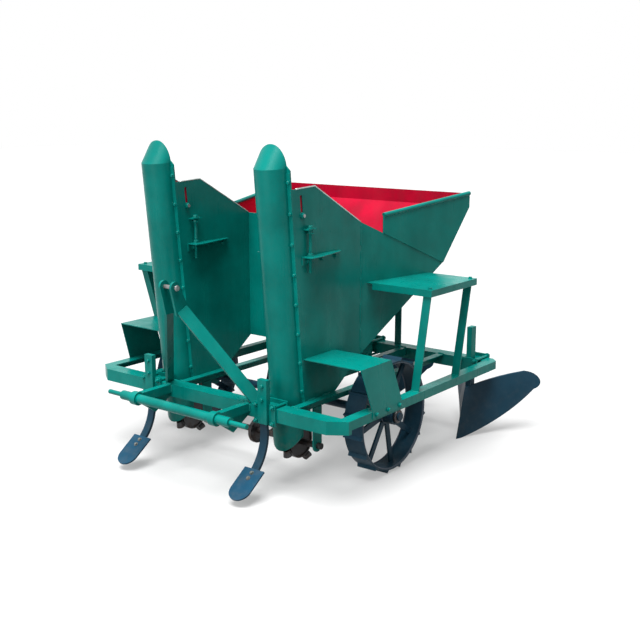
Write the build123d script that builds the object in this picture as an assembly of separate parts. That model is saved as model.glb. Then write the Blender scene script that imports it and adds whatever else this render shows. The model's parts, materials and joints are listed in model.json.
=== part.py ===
"""Two-row potato planter for a three-point linkage, built from its separate welded and bolted pieces.

Millimetres, +Z up. While it is built, Y = 0 is the front face of the front beam, X = 0 is the middle
plane and Z = 0 is the ground under the wheel lugs. The finished pieces are then moved together so that
the origin lies under the middle of the whole machine.
"""

from build123d import *
from math import cos, radians, sin, tan
import os

# Frame
ROW_SPACING = 700.0
FRAME_WIDTH = 1560.0
FRAME_LENGTH = 1385.0
FRAME_TOP = 400.0
BEAM_HEIGHT = 60.0
BEAM_DEPTH = 75.0
BEAM_WALL = 6.0
RAIL_FLANGE = 55.0
RAIL_HEIGHT = 42.0
RAIL_WALL = 6.0
CORNER_CUT = 80.0
CORNER_RUN = 55.0
REAR_CUT = 35.0
INNER_RAIL_FLANGE = 38.0
INNER_RAIL_WALL = 5.0

# Running and seating clearances
SHAFT_CLEARANCE = 0.05
SEAT_GAP = 0.3

# Elevator towers, leaning forward, and their feed boxes
TOWER_LEAN = 5.24
TOWER_FOOT_Y = 169.0
TOWER_RADIUS = 80.0
TOWER_FLANGE = 20.0
TOWER_HEIGHT = 1050.0
TOWER_DROP = 232.0
TOWER_WALL = 4.0
CAP_HEIGHT = 100.0
PLATE_CORNER = 20.0
PLATE_DROP = 140.0
FEED_HALF_WIDTH = 100.0
FEED_WALL = 4.0
FEED_PEAK_Y = 245.0
FEED_PEAK_Z = FRAME_TOP + TOWER_HEIGHT - 88.0
FEED_FRONT_Z = FEED_PEAK_Z - 7.0
FEED_BACK_Y = 592.0
FEED_BACK_Z = 1172.0
FEED_FLOOR_REACH = 394.0
FEED_FLOOR_Z = FRAME_TOP

# Cup chains
CHAIN_BEND = 75.0
CHAIN_THICK = 8.0
CHAIN_WIDTH = 24.0
CHAIN_MIDDLE = 62.0
CHAIN_LOW = -235.0
CHAIN_HEADROOM = 212.0
CHAIN_HIGH = TOWER_HEIGHT - CHAIN_HEADROOM
CHAIN_WINDOW = (110.0, 100.0, 150.0)
CUP_COUNT = 20
CUP_RADIUS = 22.0
CUP_HEIGHT = 30.0
CUP_WALL = 3.0
SHAFT_RADIUS = 15.0
SPROCKET_WIDTH = 14.0
SHAFT_END_RADIUS = 7.5
SHAFT_END = 14.0
SLOT_WIDTH = 16.0
SLOT_TRAVEL = 88.0

# Hopper: rear profile as (Y, Z) of its outer face, and the flare of its end walls
HOPPER_WALL = 4.0
HOPPER_FLARE = 0.2
HOPPER_RIM_Y = FRAME_LENGTH - 50.0
HOPPER_RIM_Z = 1263.0
HOPPER_BAND_Z = 1192.0
HOPPER_KNEE_Y = HOPPER_RIM_Y - 185.0
HOPPER_KNEE_Z = 924.0
HOPPER_FLOOR_Z = 537.0
RIM_RADIUS = 11.0
WING_FRONT_Y = 735.0
WING_FRONT_Z = 1195.0
WING_PROUD = 4.0
SADDLE_RIDGE = 300.0
POST_X = 175.0
POST_WIDTH = 40.0
POST_WALL = 6.0

# Ground wheels and axle
WHEEL_OUTER_X = 670.0
WHEEL_WIDTH = 104.0
WHEEL_TIP_RADIUS = 277.0
LUG_HEIGHT = 15.0
LUG_BASE = 26.0
LUG_COUNT = 16
RIM_WALL = 8.0
SPOKE_COUNT = 8
SPOKE_WIDTH = 28.0
SPOKE_THICK = 10.0
HUB_RADIUS = 42.0
HUB_LENGTH = 122.0
AXLE_RADIUS = 20.0
AXLE_Y = 569.0
AXLE_END_X = 704.0
BEARING_RADIUS = 46.0
BEARING_LENGTH = 40.0
BEARING_PLATE = 10.0
BEARING_TOP = 140.0
BEARING_FOOT = 80.0
DRIVE_X = 90.0
DRIVE_WIDTH = 12.0
DRIVE_SMALL = 48.0
DRIVE_LARGE = 70.0
DRIVE_GAP = 6.0
DRIVE_THICK = 12.0

# Hangers of the lower chain shaft
HANGER_WIDTH = 60.0
HANGER_THICK = 8.0
HANGER_END = 30.0

# Front tines and shovels
TINE_X = 363.0
TINE_WIDTH = 40.0
TINE_THICK = 14.0
TINE_SET = 12.0
TINE_TOP = 522.0
TINE_BEND_Z = 320.0
TINE_BOW = (-25.0, 205.0)
TINE_FOOT = (-108.0, 102.0)
SOCKET_WALL = 6.0
SOCKET_TOP = 530.0
SOCKET_LOW = 328.0
SHOVEL_WIDTH = 112.0
SHOVEL_THICK = 8.0
SHOVEL_TOP = (-76.0, 128.0)
SHOVEL_TIP = (-216.0, 30.0)
CLAMP_WIDTH = 124.0
CLAMP_THICK = 9.0
CLAMP_HEIGHT = 80.0
RIDGER_CLAMP_WIDTH = 106.0
BOLT_RADIUS = 7.0

# Three-point hitch
HITCH_SPREAD = 683.0
HITCH_PIN_RADIUS = 11.0
HITCH_PIN_LENGTH = 95.0
HITCH_SHAFT_RADIUS = 22.0
HITCH_Y = -207.0
HITCH_Z = 377.0
ARM_X = 250.0
ARM_WIDTH = 34.0
ARM_DEPTH = 40.0
ARM_EYE = 32.0
GUSSET_THICK = 10.0
GUSSET_Y = -95.0
GUSSET_Z = 285.0
MAST_Y = -215.0
MAST_PIN_Z = 930.0
MAST_PIN_RADIUS = 9.5
MAST_GAP = 56.0
MAST_PLATE = 12.0
MAST_HEAD_RADIUS = 27.0
MAST_FOOT_X = 285.0
MAST_FOOT_Y = 38.0
MAST_JOIN_Y = -182.0
MAST_JOIN_Z = 830.0
MAST_LEG_WIDTH = 58.0
MAST_LEG_THICK = 12.0
MAST_LEG_RUN = 50.0
TOP_PIN_OVERHANG = 16.0

# Ridger bodies behind
RIDGER_X = FRAME_WIDTH / 2 - 115.0
RIDGER_SHANK = (28.0, 45.0)
RIDGER_SHANK_TOP = 580.0
RIDGER_SHANK_FOOT = 112.0
RIDGER_POINT = -130.0
RIDGER_SWEEP = 235.0
RIDGER_SPREAD = 275.0
RIDGER_BOW = 30.0
RIDGER_SHEET = 8.0
RIDGER_HEIGHT = 322.0
RIDGER_TIP_LOW = 222.0
RIDGER_SHIN = 95.0
RIDGER_SHIN_TOP = 262.0
RIDGER_BELLY = (200.0, 58.0)
RIDGER_NOSE = 30.0
FROG_THICK = 14.0

# Platforms and wheel guards
PLATFORM_Z = 883.0
PLATFORM_FRONT = 630.0
PLATFORM_REAR = 1048.0
PLATFORM_OUTER = FRAME_WIDTH / 2 + 38.0
PLATFORM_WALL = 4.0
PLATFORM_LIP = 32.0
PLATFORM_RIGHT_FORWARD = 290.0
LEG_WIDTH = 42.0
LEG_WALL = 5.0
LEG_SET = 6.0
LEG_FOOT_X = FRAME_WIDTH / 2 - 28.0
LEG_RAKE = (-38.0, -38.0)
LEG_RAKE_RIGHT = (118.0, 30.0)
GUARD_Z = 600.0
GUARD_FRONT = 160.0
GUARD_REAR = 390.0
GUARD_EDGE_X = FRAME_WIDTH / 2 - 14.0
GUARD_WALL = 4.0
GUARD_FOOT_Z = 368.0
GUARD_SKEW = 65.0

# Chain adjusters on the feed boxes
SHELF_Z = 1057.0
SHELF_FRONT = 150.0
SHELF_REAR = 420.0
SHELF_WIDTH = 60.0
SHELF_TAPER = 18.0
SHELF_LEG = 34.0
SCREW_Y = 192.0
SCREW_RADIUS = 7.0
SCREW_TOP = 1176.0
SCREW_TAIL = 70.0
NUT_PLATE = (60.0, 30.0, 6.0)

HALF_FRAME = FRAME_WIDTH / 2
ROW_X = ROW_SPACING / 2
REAR_FACE = FRAME_LENGTH - BEAM_DEPTH
AXLE_Z = WHEEL_TIP_RADIUS
LEAN_SLOPE = tan(radians(TOWER_LEAN))
FEED_OUT = ROW_X + FEED_HALF_WIDTH
FEED_IN = ROW_X - FEED_HALF_WIDTH


def box(x0, x1, y0, y1, z0, z1):
    """Block between two corners."""
    return Pos((x0 + x1) / 2, (y0 + y1) / 2, (z0 + z1) / 2) * Box(x1 - x0, y1 - y0, z1 - z0)


def yz_plate(points, x0, x1):
    """Flat plate from an outline of (Y, Z) points, between two X planes."""
    plane = Plane(origin=(x0, 0, 0), x_dir=(0, 1, 0), z_dir=(1, 0, 0))
    return extrude(plane * make_face(Polyline(*points, close=True)), amount=x1 - x0)


def xy_plate(points, z0, z1):
    """Flat plate from an outline of (X, Y) points, between two heights."""
    return extrude(Plane.XY.offset(z0) * make_face(Polyline(*points, close=True)), amount=z1 - z0)


def rod(start, end, radius):
    """Round bar between two points."""
    run = Vector(*end) - Vector(*start)
    return Part() + Solid.make_cylinder(radius, run.length, Plane(origin=start, z_dir=run))


def bar(start, end, width, thick, across):
    """Flat bar between two points, its width along the direction across."""
    run = Vector(*end) - Vector(*start)
    plane = Plane(origin=start, x_dir=across, z_dir=run)
    return extrude(plane * Rectangle(width, thick), amount=run.length)


def angle_bar(start, end, width, wall, across):
    """Equal angle between two points, its corner on the line and one leg along the direction across."""
    run = Vector(*end) - Vector(*start)
    plane = Plane(origin=start, x_dir=across, z_dir=run)
    outline = Polyline((0, 0), (width, 0), (width, wall), (wall, wall), (wall, width), (0, width), close=True)
    return extrude(plane * make_face(outline), amount=run.length)


def half_disc(radius):
    """Half disc on the forward side of the X axis."""
    round_side = ThreePointArc((-radius, 0), (0, -radius), (radius, 0))
    return make_face([Line((-radius, 0), (radius, 0)), round_side])


def lean(part):
    """Place a piece drawn upright on the tower's own axes: leaning, on the middle of the left row."""
    return Pos(ROW_X, TOWER_FOOT_Y, FRAME_TOP) * Rot(TOWER_LEAN, 0, 0) * part


def tower_back_y(height):
    """Y of the rear face of the leaning tower plate at a height."""
    return TOWER_FOOT_Y + TOWER_WALL / cos(radians(TOWER_LEAN)) - (height - FRAME_TOP) * LEAN_SLOPE


def on_tower(y, z):
    """World Y and Z of a point given on the tower's own axes."""
    c, s = cos(radians(TOWER_LEAN)), sin(radians(TOWER_LEAN))
    return TOWER_FOOT_Y + y * c - z * s, FRAME_TOP + y * s + z * c


def flipped(part):
    """The same piece on the other side of the middle plane."""
    return mirror(part, about=Plane.YZ)


# Frame


def front_beam():
    """Box section beam with mitred closed ends."""
    ends = HALF_FRAME - CORNER_CUT
    low = FRAME_TOP - BEAM_HEIGHT
    beam = box(-ends, ends, 0, BEAM_DEPTH, low, FRAME_TOP)
    beam -= box(-ends, ends, BEAM_WALL, BEAM_DEPTH - BEAM_WALL, low + BEAM_WALL, FRAME_TOP - BEAM_WALL)
    outline = [(ends, 0), (HALF_FRAME, CORNER_RUN), (HALF_FRAME, BEAM_DEPTH), (ends, BEAM_DEPTH)]
    block = xy_plate(outline, low, FRAME_TOP)
    return beam + block + flipped(block)


def rear_beam():
    """Box section beam between the side rails."""
    ends = HALF_FRAME - RAIL_FLANGE
    low = FRAME_TOP - BEAM_HEIGHT
    beam = box(-ends, ends, REAR_FACE, FRAME_LENGTH, low, FRAME_TOP)
    hollow = box(-ends, ends, REAR_FACE + BEAM_WALL, FRAME_LENGTH - BEAM_WALL, low + BEAM_WALL,
                 FRAME_TOP - BEAM_WALL)
    return beam - hollow


def side_rail():
    """Angle rail: a top flange and an outer web, its rear corner cut."""
    inner = HALF_FRAME - RAIL_FLANGE
    outline = [(inner, BEAM_DEPTH), (HALF_FRAME, BEAM_DEPTH), (HALF_FRAME, FRAME_LENGTH - REAR_CUT),
               (HALF_FRAME - REAR_CUT, FRAME_LENGTH), (inner, FRAME_LENGTH)]
    flange = xy_plate(outline, FRAME_TOP - RAIL_WALL, FRAME_TOP)
    web = box(HALF_FRAME - RAIL_WALL, HALF_FRAME, BEAM_DEPTH, FRAME_LENGTH - REAR_CUT,
              FRAME_TOP - RAIL_HEIGHT, FRAME_TOP)
    return flange + web


def inner_rail(side):
    """Angle from front to rear beam beside a feed box: side is +1 outside the row, -1 inside it."""
    face = ROW_X + side * FEED_HALF_WIDTH
    web = sorted((face, face + side * INNER_RAIL_WALL))
    flange = sorted((face, face + side * INNER_RAIL_FLANGE))
    low = FRAME_TOP - RAIL_HEIGHT
    rail = box(*web, BEAM_DEPTH, REAR_FACE, low, FRAME_TOP)
    return rail + box(*flange, BEAM_DEPTH, REAR_FACE, FRAME_TOP - INNER_RAIL_WALL, FRAME_TOP)


# Row units


def d_shell(radius, low, high, cap):
    """Half-round column that ends in the same half-round leaning back to its flat side."""
    column = extrude(Plane.XY.offset(low) * half_disc(radius), amount=high - low)
    slope = Vector(0, radius, cap)
    tip = extrude(Plane.XY.offset(high) * half_disc(radius), amount=slope.length, dir=slope)
    return column + (tip - box(-radius, radius, 0, 2 * radius, low, high + 2 * cap))


def tower_casing():
    """Half-round casing with its nose cap, its round lower tip and the bolting flanges along its edges."""
    shell = d_shell(TOWER_RADIUS, -TOWER_DROP, TOWER_HEIGHT, CAP_HEIGHT)
    inner = TOWER_RADIUS - TOWER_WALL
    shell -= d_shell(inner, -TOWER_DROP, TOWER_HEIGHT, CAP_HEIGHT * inner / TOWER_RADIUS)
    for side in (-1, 1):
        edges = sorted((side * (TOWER_RADIUS - TOWER_WALL / 2), side * (TOWER_RADIUS + TOWER_FLANGE)))
        shell += box(*edges, -TOWER_WALL, 0, TOWER_FLANGE, TOWER_HEIGHT - TOWER_FLANGE)
    front = Plane(origin=(0, 0, TOWER_RADIUS - TOWER_DROP), x_dir=(1, 0, 0), z_dir=(0, -1, 0))
    corner = box(-TOWER_RADIUS, TOWER_RADIUS, -TOWER_RADIUS, 0, -TOWER_DROP, TOWER_RADIUS - TOWER_DROP)
    corner -= extrude(front * Circle(TOWER_RADIUS), amount=TOWER_RADIUS)
    return lean(shell - corner)


def tower_plate():
    """Back plate of the casing, round-topped behind the cap, with a window that the chain passes through."""
    half = TOWER_RADIUS + TOWER_FLANGE
    shoulder = TOWER_HEIGHT + PLATE_CORNER / 2
    outline = Polyline((-half, -PLATE_DROP), (half, -PLATE_DROP), (half, shoulder - PLATE_CORNER),
                       (half - PLATE_CORNER, shoulder), (PLATE_CORNER - half, shoulder),
                       (-half, shoulder - PLATE_CORNER), close=True)
    plane = Plane(origin=(0, TOWER_WALL, 0), x_dir=(1, 0, 0), z_dir=(0, -1, 0))
    arch = Pos(0, TOWER_HEIGHT) * Ellipse(TOWER_RADIUS, CAP_HEIGHT)
    plate = extrude(plane * (make_face(outline) + arch), amount=TOWER_WALL)
    wide, below, above = CHAIN_WINDOW
    window = box(-wide / 2, wide / 2, 0, TOWER_WALL, CHAIN_HIGH - below, CHAIN_HIGH + above)
    return lean(plate - window)


def feed_side(x0, x1):
    """Peaked side plate of a feed box, with the slot that the upper chain shaft slides in."""
    low = FRAME_TOP - RAIL_HEIGHT
    outline = [(tower_back_y(low), low), (tower_back_y(FEED_FRONT_Z), FEED_FRONT_Z),
               (FEED_PEAK_Y, FEED_PEAK_Z), (FEED_BACK_Y, FEED_BACK_Z), (FEED_BACK_Y, HOPPER_FLOOR_Z),
               (FEED_FLOOR_REACH, FEED_FLOOR_Z), (FEED_FLOOR_REACH, low)]
    plate = yz_plate(outline, x0, x1)
    slot = box(-ROW_SPACING, ROW_SPACING, CHAIN_MIDDLE - SLOT_WIDTH / 2, CHAIN_MIDDLE + SLOT_WIDTH / 2,
               CHAIN_HIGH - SHAFT_END_RADIUS - SEAT_GAP, CHAIN_HIGH + SLOT_TRAVEL)
    return plate - lean(slot)


def feed_box():
    """Two side plates with the sloping floor between them."""
    outer = feed_side(FEED_OUT - FEED_WALL, FEED_OUT)
    inner = feed_side(FEED_IN, FEED_IN + FEED_WALL)
    floor = yz_plate([(FEED_FLOOR_REACH, FEED_FLOOR_Z), (FEED_BACK_Y, HOPPER_FLOOR_Z),
                      (FEED_BACK_Y, HOPPER_FLOOR_Z + FEED_WALL),
                      (FEED_FLOOR_REACH, FEED_FLOOR_Z + FEED_WALL)], FEED_IN, FEED_OUT)
    return outer + inner + floor


def cup_places():
    """Travel angle and place, on the tower's own axes, of each cup round the chain."""
    run = CHAIN_HIGH - CHAIN_LOW
    bend = CHAIN_BEND * 3.14159265
    pitch = 2 * (run + bend) / CUP_COUNT
    places = []
    for index in range(CUP_COUNT):
        along = (index + 0.35) * pitch
        if along < run:
            places.append((0.0, CHAIN_MIDDLE + CHAIN_BEND, CHAIN_LOW + along))
        elif along < run + bend:
            turn = (along - run) / CHAIN_BEND
            places.append((turn, CHAIN_MIDDLE + CHAIN_BEND * cos(turn), CHAIN_HIGH + CHAIN_BEND * sin(turn)))
        elif along < 2 * run + bend:
            places.append((3.14159265, CHAIN_MIDDLE - CHAIN_BEND, CHAIN_HIGH - (along - run - bend)))
        else:
            turn = 3.14159265 + (along - 2 * run - bend) / CHAIN_BEND
            places.append((turn, CHAIN_MIDDLE + CHAIN_BEND * cos(turn), CHAIN_LOW + CHAIN_BEND * sin(turn)))
    return places


def chain_loop(radius):
    """Stadium outline of the chain at a distance from its two shaft centres."""
    height = CHAIN_HIGH - CHAIN_LOW + 2 * radius
    plane = Plane(origin=(0, CHAIN_MIDDLE, (CHAIN_HIGH + CHAIN_LOW) / 2), x_dir=(0, 0, 1), z_dir=(1, 0, 0))
    return plane * SlotOverall(height, 2 * radius)


def cup_chain():
    """Endless chain as one flat loop with its cups standing outwards."""
    band = extrude(chain_loop(CHAIN_BEND + CHAIN_THICK / 2), amount=CHAIN_WIDTH / 2, both=True)
    band -= extrude(chain_loop(CHAIN_BEND - CHAIN_THICK / 2), amount=CHAIN_WIDTH, both=True)
    cup = Pos(0, CUP_RADIUS, 0) * (Cone(CUP_RADIUS * 0.7, CUP_RADIUS, CUP_HEIGHT)
                                   - Pos(0, 0, CUP_WALL) * Cone(CUP_RADIUS * 0.7 - CUP_WALL,
                                                                CUP_RADIUS - CUP_WALL, CUP_HEIGHT))
    for turn, y, z in cup_places():
        band += Pos(0, y, z) * Rot(turn * 57.2957795, 0, 0) * cup
    return lean(band)


def upper_shaft():
    """Shaft with the upper chain sprocket, its thin ends lying at the foot of the two slots."""
    body = FEED_HALF_WIDTH - FEED_WALL - SEAT_GAP
    tip = FEED_HALF_WIDTH + SHAFT_END
    rings = ((tip, SHAFT_END_RADIUS), (body, SHAFT_RADIUS),
             (SPROCKET_WIDTH / 2, CHAIN_BEND - CHAIN_THICK / 2 - SEAT_GAP))
    steps = [rod((-x, CHAIN_MIDDLE, CHAIN_HIGH), (x, CHAIN_MIDDLE, CHAIN_HIGH), r) for x, r in rings]
    return lean(steps[0] + steps[1] + steps[2])


def shaft_hanger(side):
    """Plate under an inner rail's web, round-ended about the lower shaft: side as for the rail."""
    y0, z0 = on_tower(CHAIN_MIDDLE, CHAIN_LOW)
    face = ROW_X + side * FEED_HALF_WIDTH
    x0, x1 = sorted((face, face + side * HANGER_THICK))
    half = HANGER_WIDTH / 2
    plate = box(x0, x1, y0 - half, y0 + half, z0, FRAME_TOP - RAIL_HEIGHT)
    plate += rod((x0, y0, z0), (x1, y0, z0), half)
    return plate - rod((0, y0, z0), (ROW_SPACING, y0, z0), SHAFT_RADIUS + SHAFT_CLEARANCE)


def lower_shaft():
    """Cross shaft in both shoes with the lower chain sprockets and the driven sprocket."""
    y0, z0 = on_tower(CHAIN_MIDDLE, CHAIN_LOW)
    end = FEED_OUT + HANGER_END
    shaft = rod((-end, y0, z0), (end, y0, z0), SHAFT_RADIUS)
    wheel = CHAIN_BEND - CHAIN_THICK / 2 - SEAT_GAP
    for side in (-1, 1):
        middle = side * ROW_X
        shaft += rod((middle - SPROCKET_WIDTH / 2, y0, z0), (middle + SPROCKET_WIDTH / 2, y0, z0), wheel)
    driven = rod((DRIVE_X - DRIVE_WIDTH / 2, y0, z0), (DRIVE_X + DRIVE_WIDTH / 2, y0, z0), DRIVE_SMALL)
    return shaft + driven


def adjuster(side):
    """Shelf bracket with the upright screw and its nut plate: side is +1 outside the row, -1 inside it."""
    face = ROW_X + side * FEED_HALF_WIDTH
    long, deep, thick = NUT_PLATE

    def out(reach):
        return sorted((face, face + side * reach))

    plan = [(face, SHELF_FRONT), (face + side * SHELF_WIDTH, SHELF_FRONT),
            (face + side * SHELF_WIDTH, SCREW_Y + long / 2), (face + side * SHELF_TAPER, SHELF_REAR),
            (face, SHELF_REAR)]
    shelf = xy_plate(plan, SHELF_Z, SHELF_Z + FEED_WALL)
    shelf += box(*out(FEED_WALL), SHELF_FRONT, SHELF_REAR, SHELF_Z - SHELF_LEG, SHELF_Z)
    x0 = face + side * deep / 2
    screw = rod((x0, SCREW_Y, SHELF_Z - SCREW_TAIL), (x0, SCREW_Y, SCREW_TOP), SCREW_RADIUS)
    nut = box(*out(deep), SCREW_Y - long / 2, SCREW_Y + long / 2, SCREW_TOP, SCREW_TOP + thick)
    return shelf + screw + nut


# Hopper


def wall_x(y, inset):
    """X of the left end wall's outer face at a Y, moved inwards by an inset."""
    return FEED_OUT + HOPPER_FLARE * (y - FEED_BACK_Y) - inset


def end_wall():
    """Flared end wall: the lower sheet, the proud upper wing sheet and the rolled rim along its top."""
    direction = Vector(HOPPER_FLARE, 1, 0).normalized()
    normal = Vector(1, -HOPPER_FLARE, 0).normalized()
    plane = Plane(origin=(FEED_OUT, FEED_BACK_Y, 0), x_dir=direction, z_dir=normal)
    stretch = 1 / direction.Y
    knee = ((HOPPER_KNEE_Y - FEED_BACK_Y) * stretch, HOPPER_KNEE_Z)
    rear = (HOPPER_RIM_Y - FEED_BACK_Y) * stretch
    front = (WING_FRONT_Y - FEED_BACK_Y) * stretch
    fall = (HOPPER_KNEE_Z - FEED_BACK_Z) / knee[0]
    crease = FEED_BACK_Z + fall * front
    lower = Polyline((0, HOPPER_FLOOR_Z), (0, FEED_BACK_Z), knee, close=True)
    wing = Polyline((front, crease), (front, WING_FRONT_Z), (rear, HOPPER_RIM_Z), (rear, HOPPER_BAND_Z), knee,
                    close=True)
    wall = extrude(plane * make_face(lower), amount=-HOPPER_WALL)
    wall += extrude(plane.offset(WING_PROUD) * make_face(wing), amount=-HOPPER_WALL - WING_PROUD)
    start = plane.from_local_coords(Vector(front, WING_FRONT_Z, 0))
    end = plane.from_local_coords(Vector(rear, HOPPER_RIM_Z, 0))
    return wall + rod(tuple(start), tuple(end), RIM_RADIUS)


def between_walls(inset):
    """Prism that fills the hopper in plan between the end walls' inner faces."""
    reach = HOPPER_RIM_Y + RIM_RADIUS
    slant = (1 + HOPPER_FLARE ** 2) ** 0.5 * inset
    near = wall_x(FEED_BACK_Y, slant)
    far = wall_x(reach, slant)
    outline = [(-near, FEED_BACK_Y), (near, FEED_BACK_Y), (far, reach), (-far, reach)]
    return xy_plate(outline, 0, HOPPER_RIM_Z + RIM_RADIUS)


def rear_wall():
    """One bent sheet: rim lip, upright band, steep slope and floor."""
    t = HOPPER_WALL
    outer = [(FEED_BACK_Y, HOPPER_FLOOR_Z), (HOPPER_KNEE_Y, HOPPER_KNEE_Z), (HOPPER_RIM_Y, HOPPER_BAND_Z),
             (HOPPER_RIM_Y, HOPPER_RIM_Z)]
    inner = [(HOPPER_KNEE_Y - 0.6 * t, HOPPER_KNEE_Z + t), (HOPPER_RIM_Y - t, HOPPER_BAND_Z + 0.5 * t)]
    top = [(HOPPER_RIM_Y - t, HOPPER_RIM_Z)]
    outline = outer + top + inner[::-1] + [(FEED_BACK_Y, HOPPER_FLOOR_Z + t)]
    sheet = yz_plate(outline, -FRAME_WIDTH / 2, FRAME_WIDTH / 2) & between_walls(HOPPER_WALL)
    return sheet - rim_clear()


def rim_clear():
    """Room round the rolled rims of both end walls."""
    start = (wall_x(WING_FRONT_Y, 0), WING_FRONT_Y, WING_FRONT_Z)
    end = (wall_x(HOPPER_RIM_Y, 0), HOPPER_RIM_Y, HOPPER_RIM_Z)
    tube = rod(start, end, RIM_RADIUS + SEAT_GAP)
    return tube + flipped(tube)


def front_wall():
    """Upright sheet that closes the hopper between the two feed boxes."""
    sheet = box(-FEED_IN, FEED_IN, FEED_BACK_Y - HOPPER_WALL, FEED_BACK_Y, HOPPER_FLOOR_Z, FEED_BACK_Z)
    return sheet


def saddle():
    """Folded roof-shaped sheet that parts the load between the two feed boxes."""
    base = HOPPER_FLOOR_Z + HOPPER_WALL
    outline = Polyline((-FEED_IN, base), (FEED_IN, base), (0, base + SADDLE_RIDGE), close=True)
    plane = Plane(origin=(0, HOPPER_KNEE_Y - HOPPER_WALL, 0), x_dir=(1, 0, 0), z_dir=(0, -1, 0))
    roof = extrude(plane * make_face(outline), amount=HOPPER_KNEE_Y - HOPPER_WALL - FEED_BACK_Y)
    roof -= Pos(0, 0, -2 * HOPPER_WALL) * roof
    below = yz_plate([(FEED_BACK_Y, 0), (FEED_BACK_Y, HOPPER_FLOOR_Z + HOPPER_WALL),
                      (HOPPER_KNEE_Y - 0.6 * HOPPER_WALL, HOPPER_KNEE_Z + HOPPER_WALL), (HOPPER_KNEE_Y, 0)],
                     -FRAME_WIDTH, FRAME_WIDTH)
    return roof - below


def hopper_post():
    """Angle post on the rear beam, its front leg flat against the hopper's upright band."""
    corner = POST_X - POST_WIDTH / 2
    return angle_bar((corner, HOPPER_RIM_Y, FRAME_TOP), (corner, HOPPER_RIM_Y, HOPPER_RIM_Z - 2 * RIM_RADIUS),
                     POST_WIDTH, POST_WALL, (1, 0, 0))


# Ground drive


def ground_wheel():
    """Flat rim with pointed cross lugs, flat spokes and a long hub."""
    rim_radius = WHEEL_TIP_RADIUS - LUG_HEIGHT
    inner = rim_radius - RIM_WALL
    x0 = WHEEL_OUTER_X - WHEEL_WIDTH
    face = Plane(origin=(x0, AXLE_Y, AXLE_Z), x_dir=(0, 1, 0), z_dir=(1, 0, 0))
    wheel = extrude(face * (Circle(rim_radius) - Circle(inner)), amount=WHEEL_WIDTH)
    sunk = rim_radius * 0.985
    lug = Polyline((sunk, -LUG_BASE / 2), (WHEEL_TIP_RADIUS, 0), (sunk, LUG_BASE / 2), close=True)
    for index in range(LUG_COUNT):
        turned = Rot(0, 0, 360 * (index + 0.5) / LUG_COUNT) * make_face(lug)
        wheel += extrude(face * turned, amount=WHEEL_WIDTH)
    middle = face.offset(WHEEL_WIDTH / 2)
    spoke = Pos((HUB_RADIUS + inner) / 2, 0) * Rectangle(inner - HUB_RADIUS + RIM_WALL, SPOKE_WIDTH)
    for index in range(SPOKE_COUNT):
        turned = Rot(0, 0, 360 * (index + 0.25) / SPOKE_COUNT) * spoke
        wheel += extrude(middle * turned, amount=SPOKE_THICK / 2, both=True)
    hub = extrude(middle * Circle(HUB_RADIUS), amount=HUB_LENGTH / 2, both=True)
    bore = extrude(middle * Circle(AXLE_RADIUS + SHAFT_CLEARANCE), amount=HUB_LENGTH, both=True)
    return wheel + hub - bore


def axle():
    """Through axle with the driving sprocket."""
    shaft = rod((-AXLE_END_X, AXLE_Y, AXLE_Z), (AXLE_END_X, AXLE_Y, AXLE_Z), AXLE_RADIUS)
    return shaft + rod((DRIVE_X - DRIVE_WIDTH / 2, AXLE_Y, AXLE_Z), (DRIVE_X + DRIVE_WIDTH / 2, AXLE_Y, AXLE_Z),
                       DRIVE_LARGE)


def axle_bearing():
    """Hanger plate on the edge of the inner rail with a round bearing boss."""
    x0 = FEED_OUT + INNER_RAIL_FLANGE
    wide, narrow = BEARING_TOP / 2, BEARING_FOOT / 2
    hanger = yz_plate([(AXLE_Y - wide, FRAME_TOP), (AXLE_Y + wide, FRAME_TOP), (AXLE_Y + narrow, AXLE_Z),
                       (AXLE_Y - narrow, AXLE_Z)], x0, x0 + BEARING_PLATE)
    boss = rod((x0, AXLE_Y, AXLE_Z), (x0 + BEARING_LENGTH, AXLE_Y, AXLE_Z), BEARING_RADIUS)
    bore = rod((0, AXLE_Y, AXLE_Z), (FRAME_WIDTH, AXLE_Y, AXLE_Z), AXLE_RADIUS + SHAFT_CLEARANCE)
    return hanger + boss - bore


def drive_chain():
    """Fixed loop round the driven sprocket, passing clear of the sprocket on the axle."""
    y0, z0 = on_tower(CHAIN_MIDDLE, CHAIN_LOW)
    inside_small = DRIVE_SMALL + SEAT_GAP
    inside_large = DRIVE_LARGE + DRIVE_GAP
    loop = chain_hull(y0, z0, inside_small + DRIVE_THICK, inside_large + DRIVE_THICK)
    return loop - chain_hull(y0, z0, inside_small, inside_large)


def chain_hull(y0, z0, small, large):
    """Two round ends joined by a straight-sided web, as an outline in the drive's plane."""
    plane = Plane(origin=(DRIVE_X, 0, 0), x_dir=(0, 1, 0), z_dir=(1, 0, 0))
    ends = (Pos(y0, z0) * Circle(small), Pos(AXLE_Y, AXLE_Z) * Circle(large))
    shape = make_hull([edge for end in ends for edge in end.edges()])
    return extrude(plane * shape, amount=DRIVE_WIDTH / 2, both=True)


# Soil tools


def shovel():
    """Spade-shaped blade with a straight top edge and a round tip, its underside on the two given points."""
    (y0, z0), (y1, z1) = SHOVEL_TOP, SHOVEL_TIP
    down = Vector(0, y1 - y0, z1 - z0)
    length = down.length
    half = SHOVEL_WIDTH / 2
    plane = Plane(origin=(TINE_X, y0, z0), x_dir=(1, 0, 0), z_dir=Vector(1, 0, 0).cross(down))
    outline = make_face([Line((-half, 0), (half, 0)), Line((half, 0), (half, length - half)),
                         ThreePointArc((half, length - half), (0, length), (-half, length - half)),
                         Line((-half, length - half), (-half, 0))])
    return extrude(plane * outline, amount=-SHOVEL_THICK)


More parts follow.
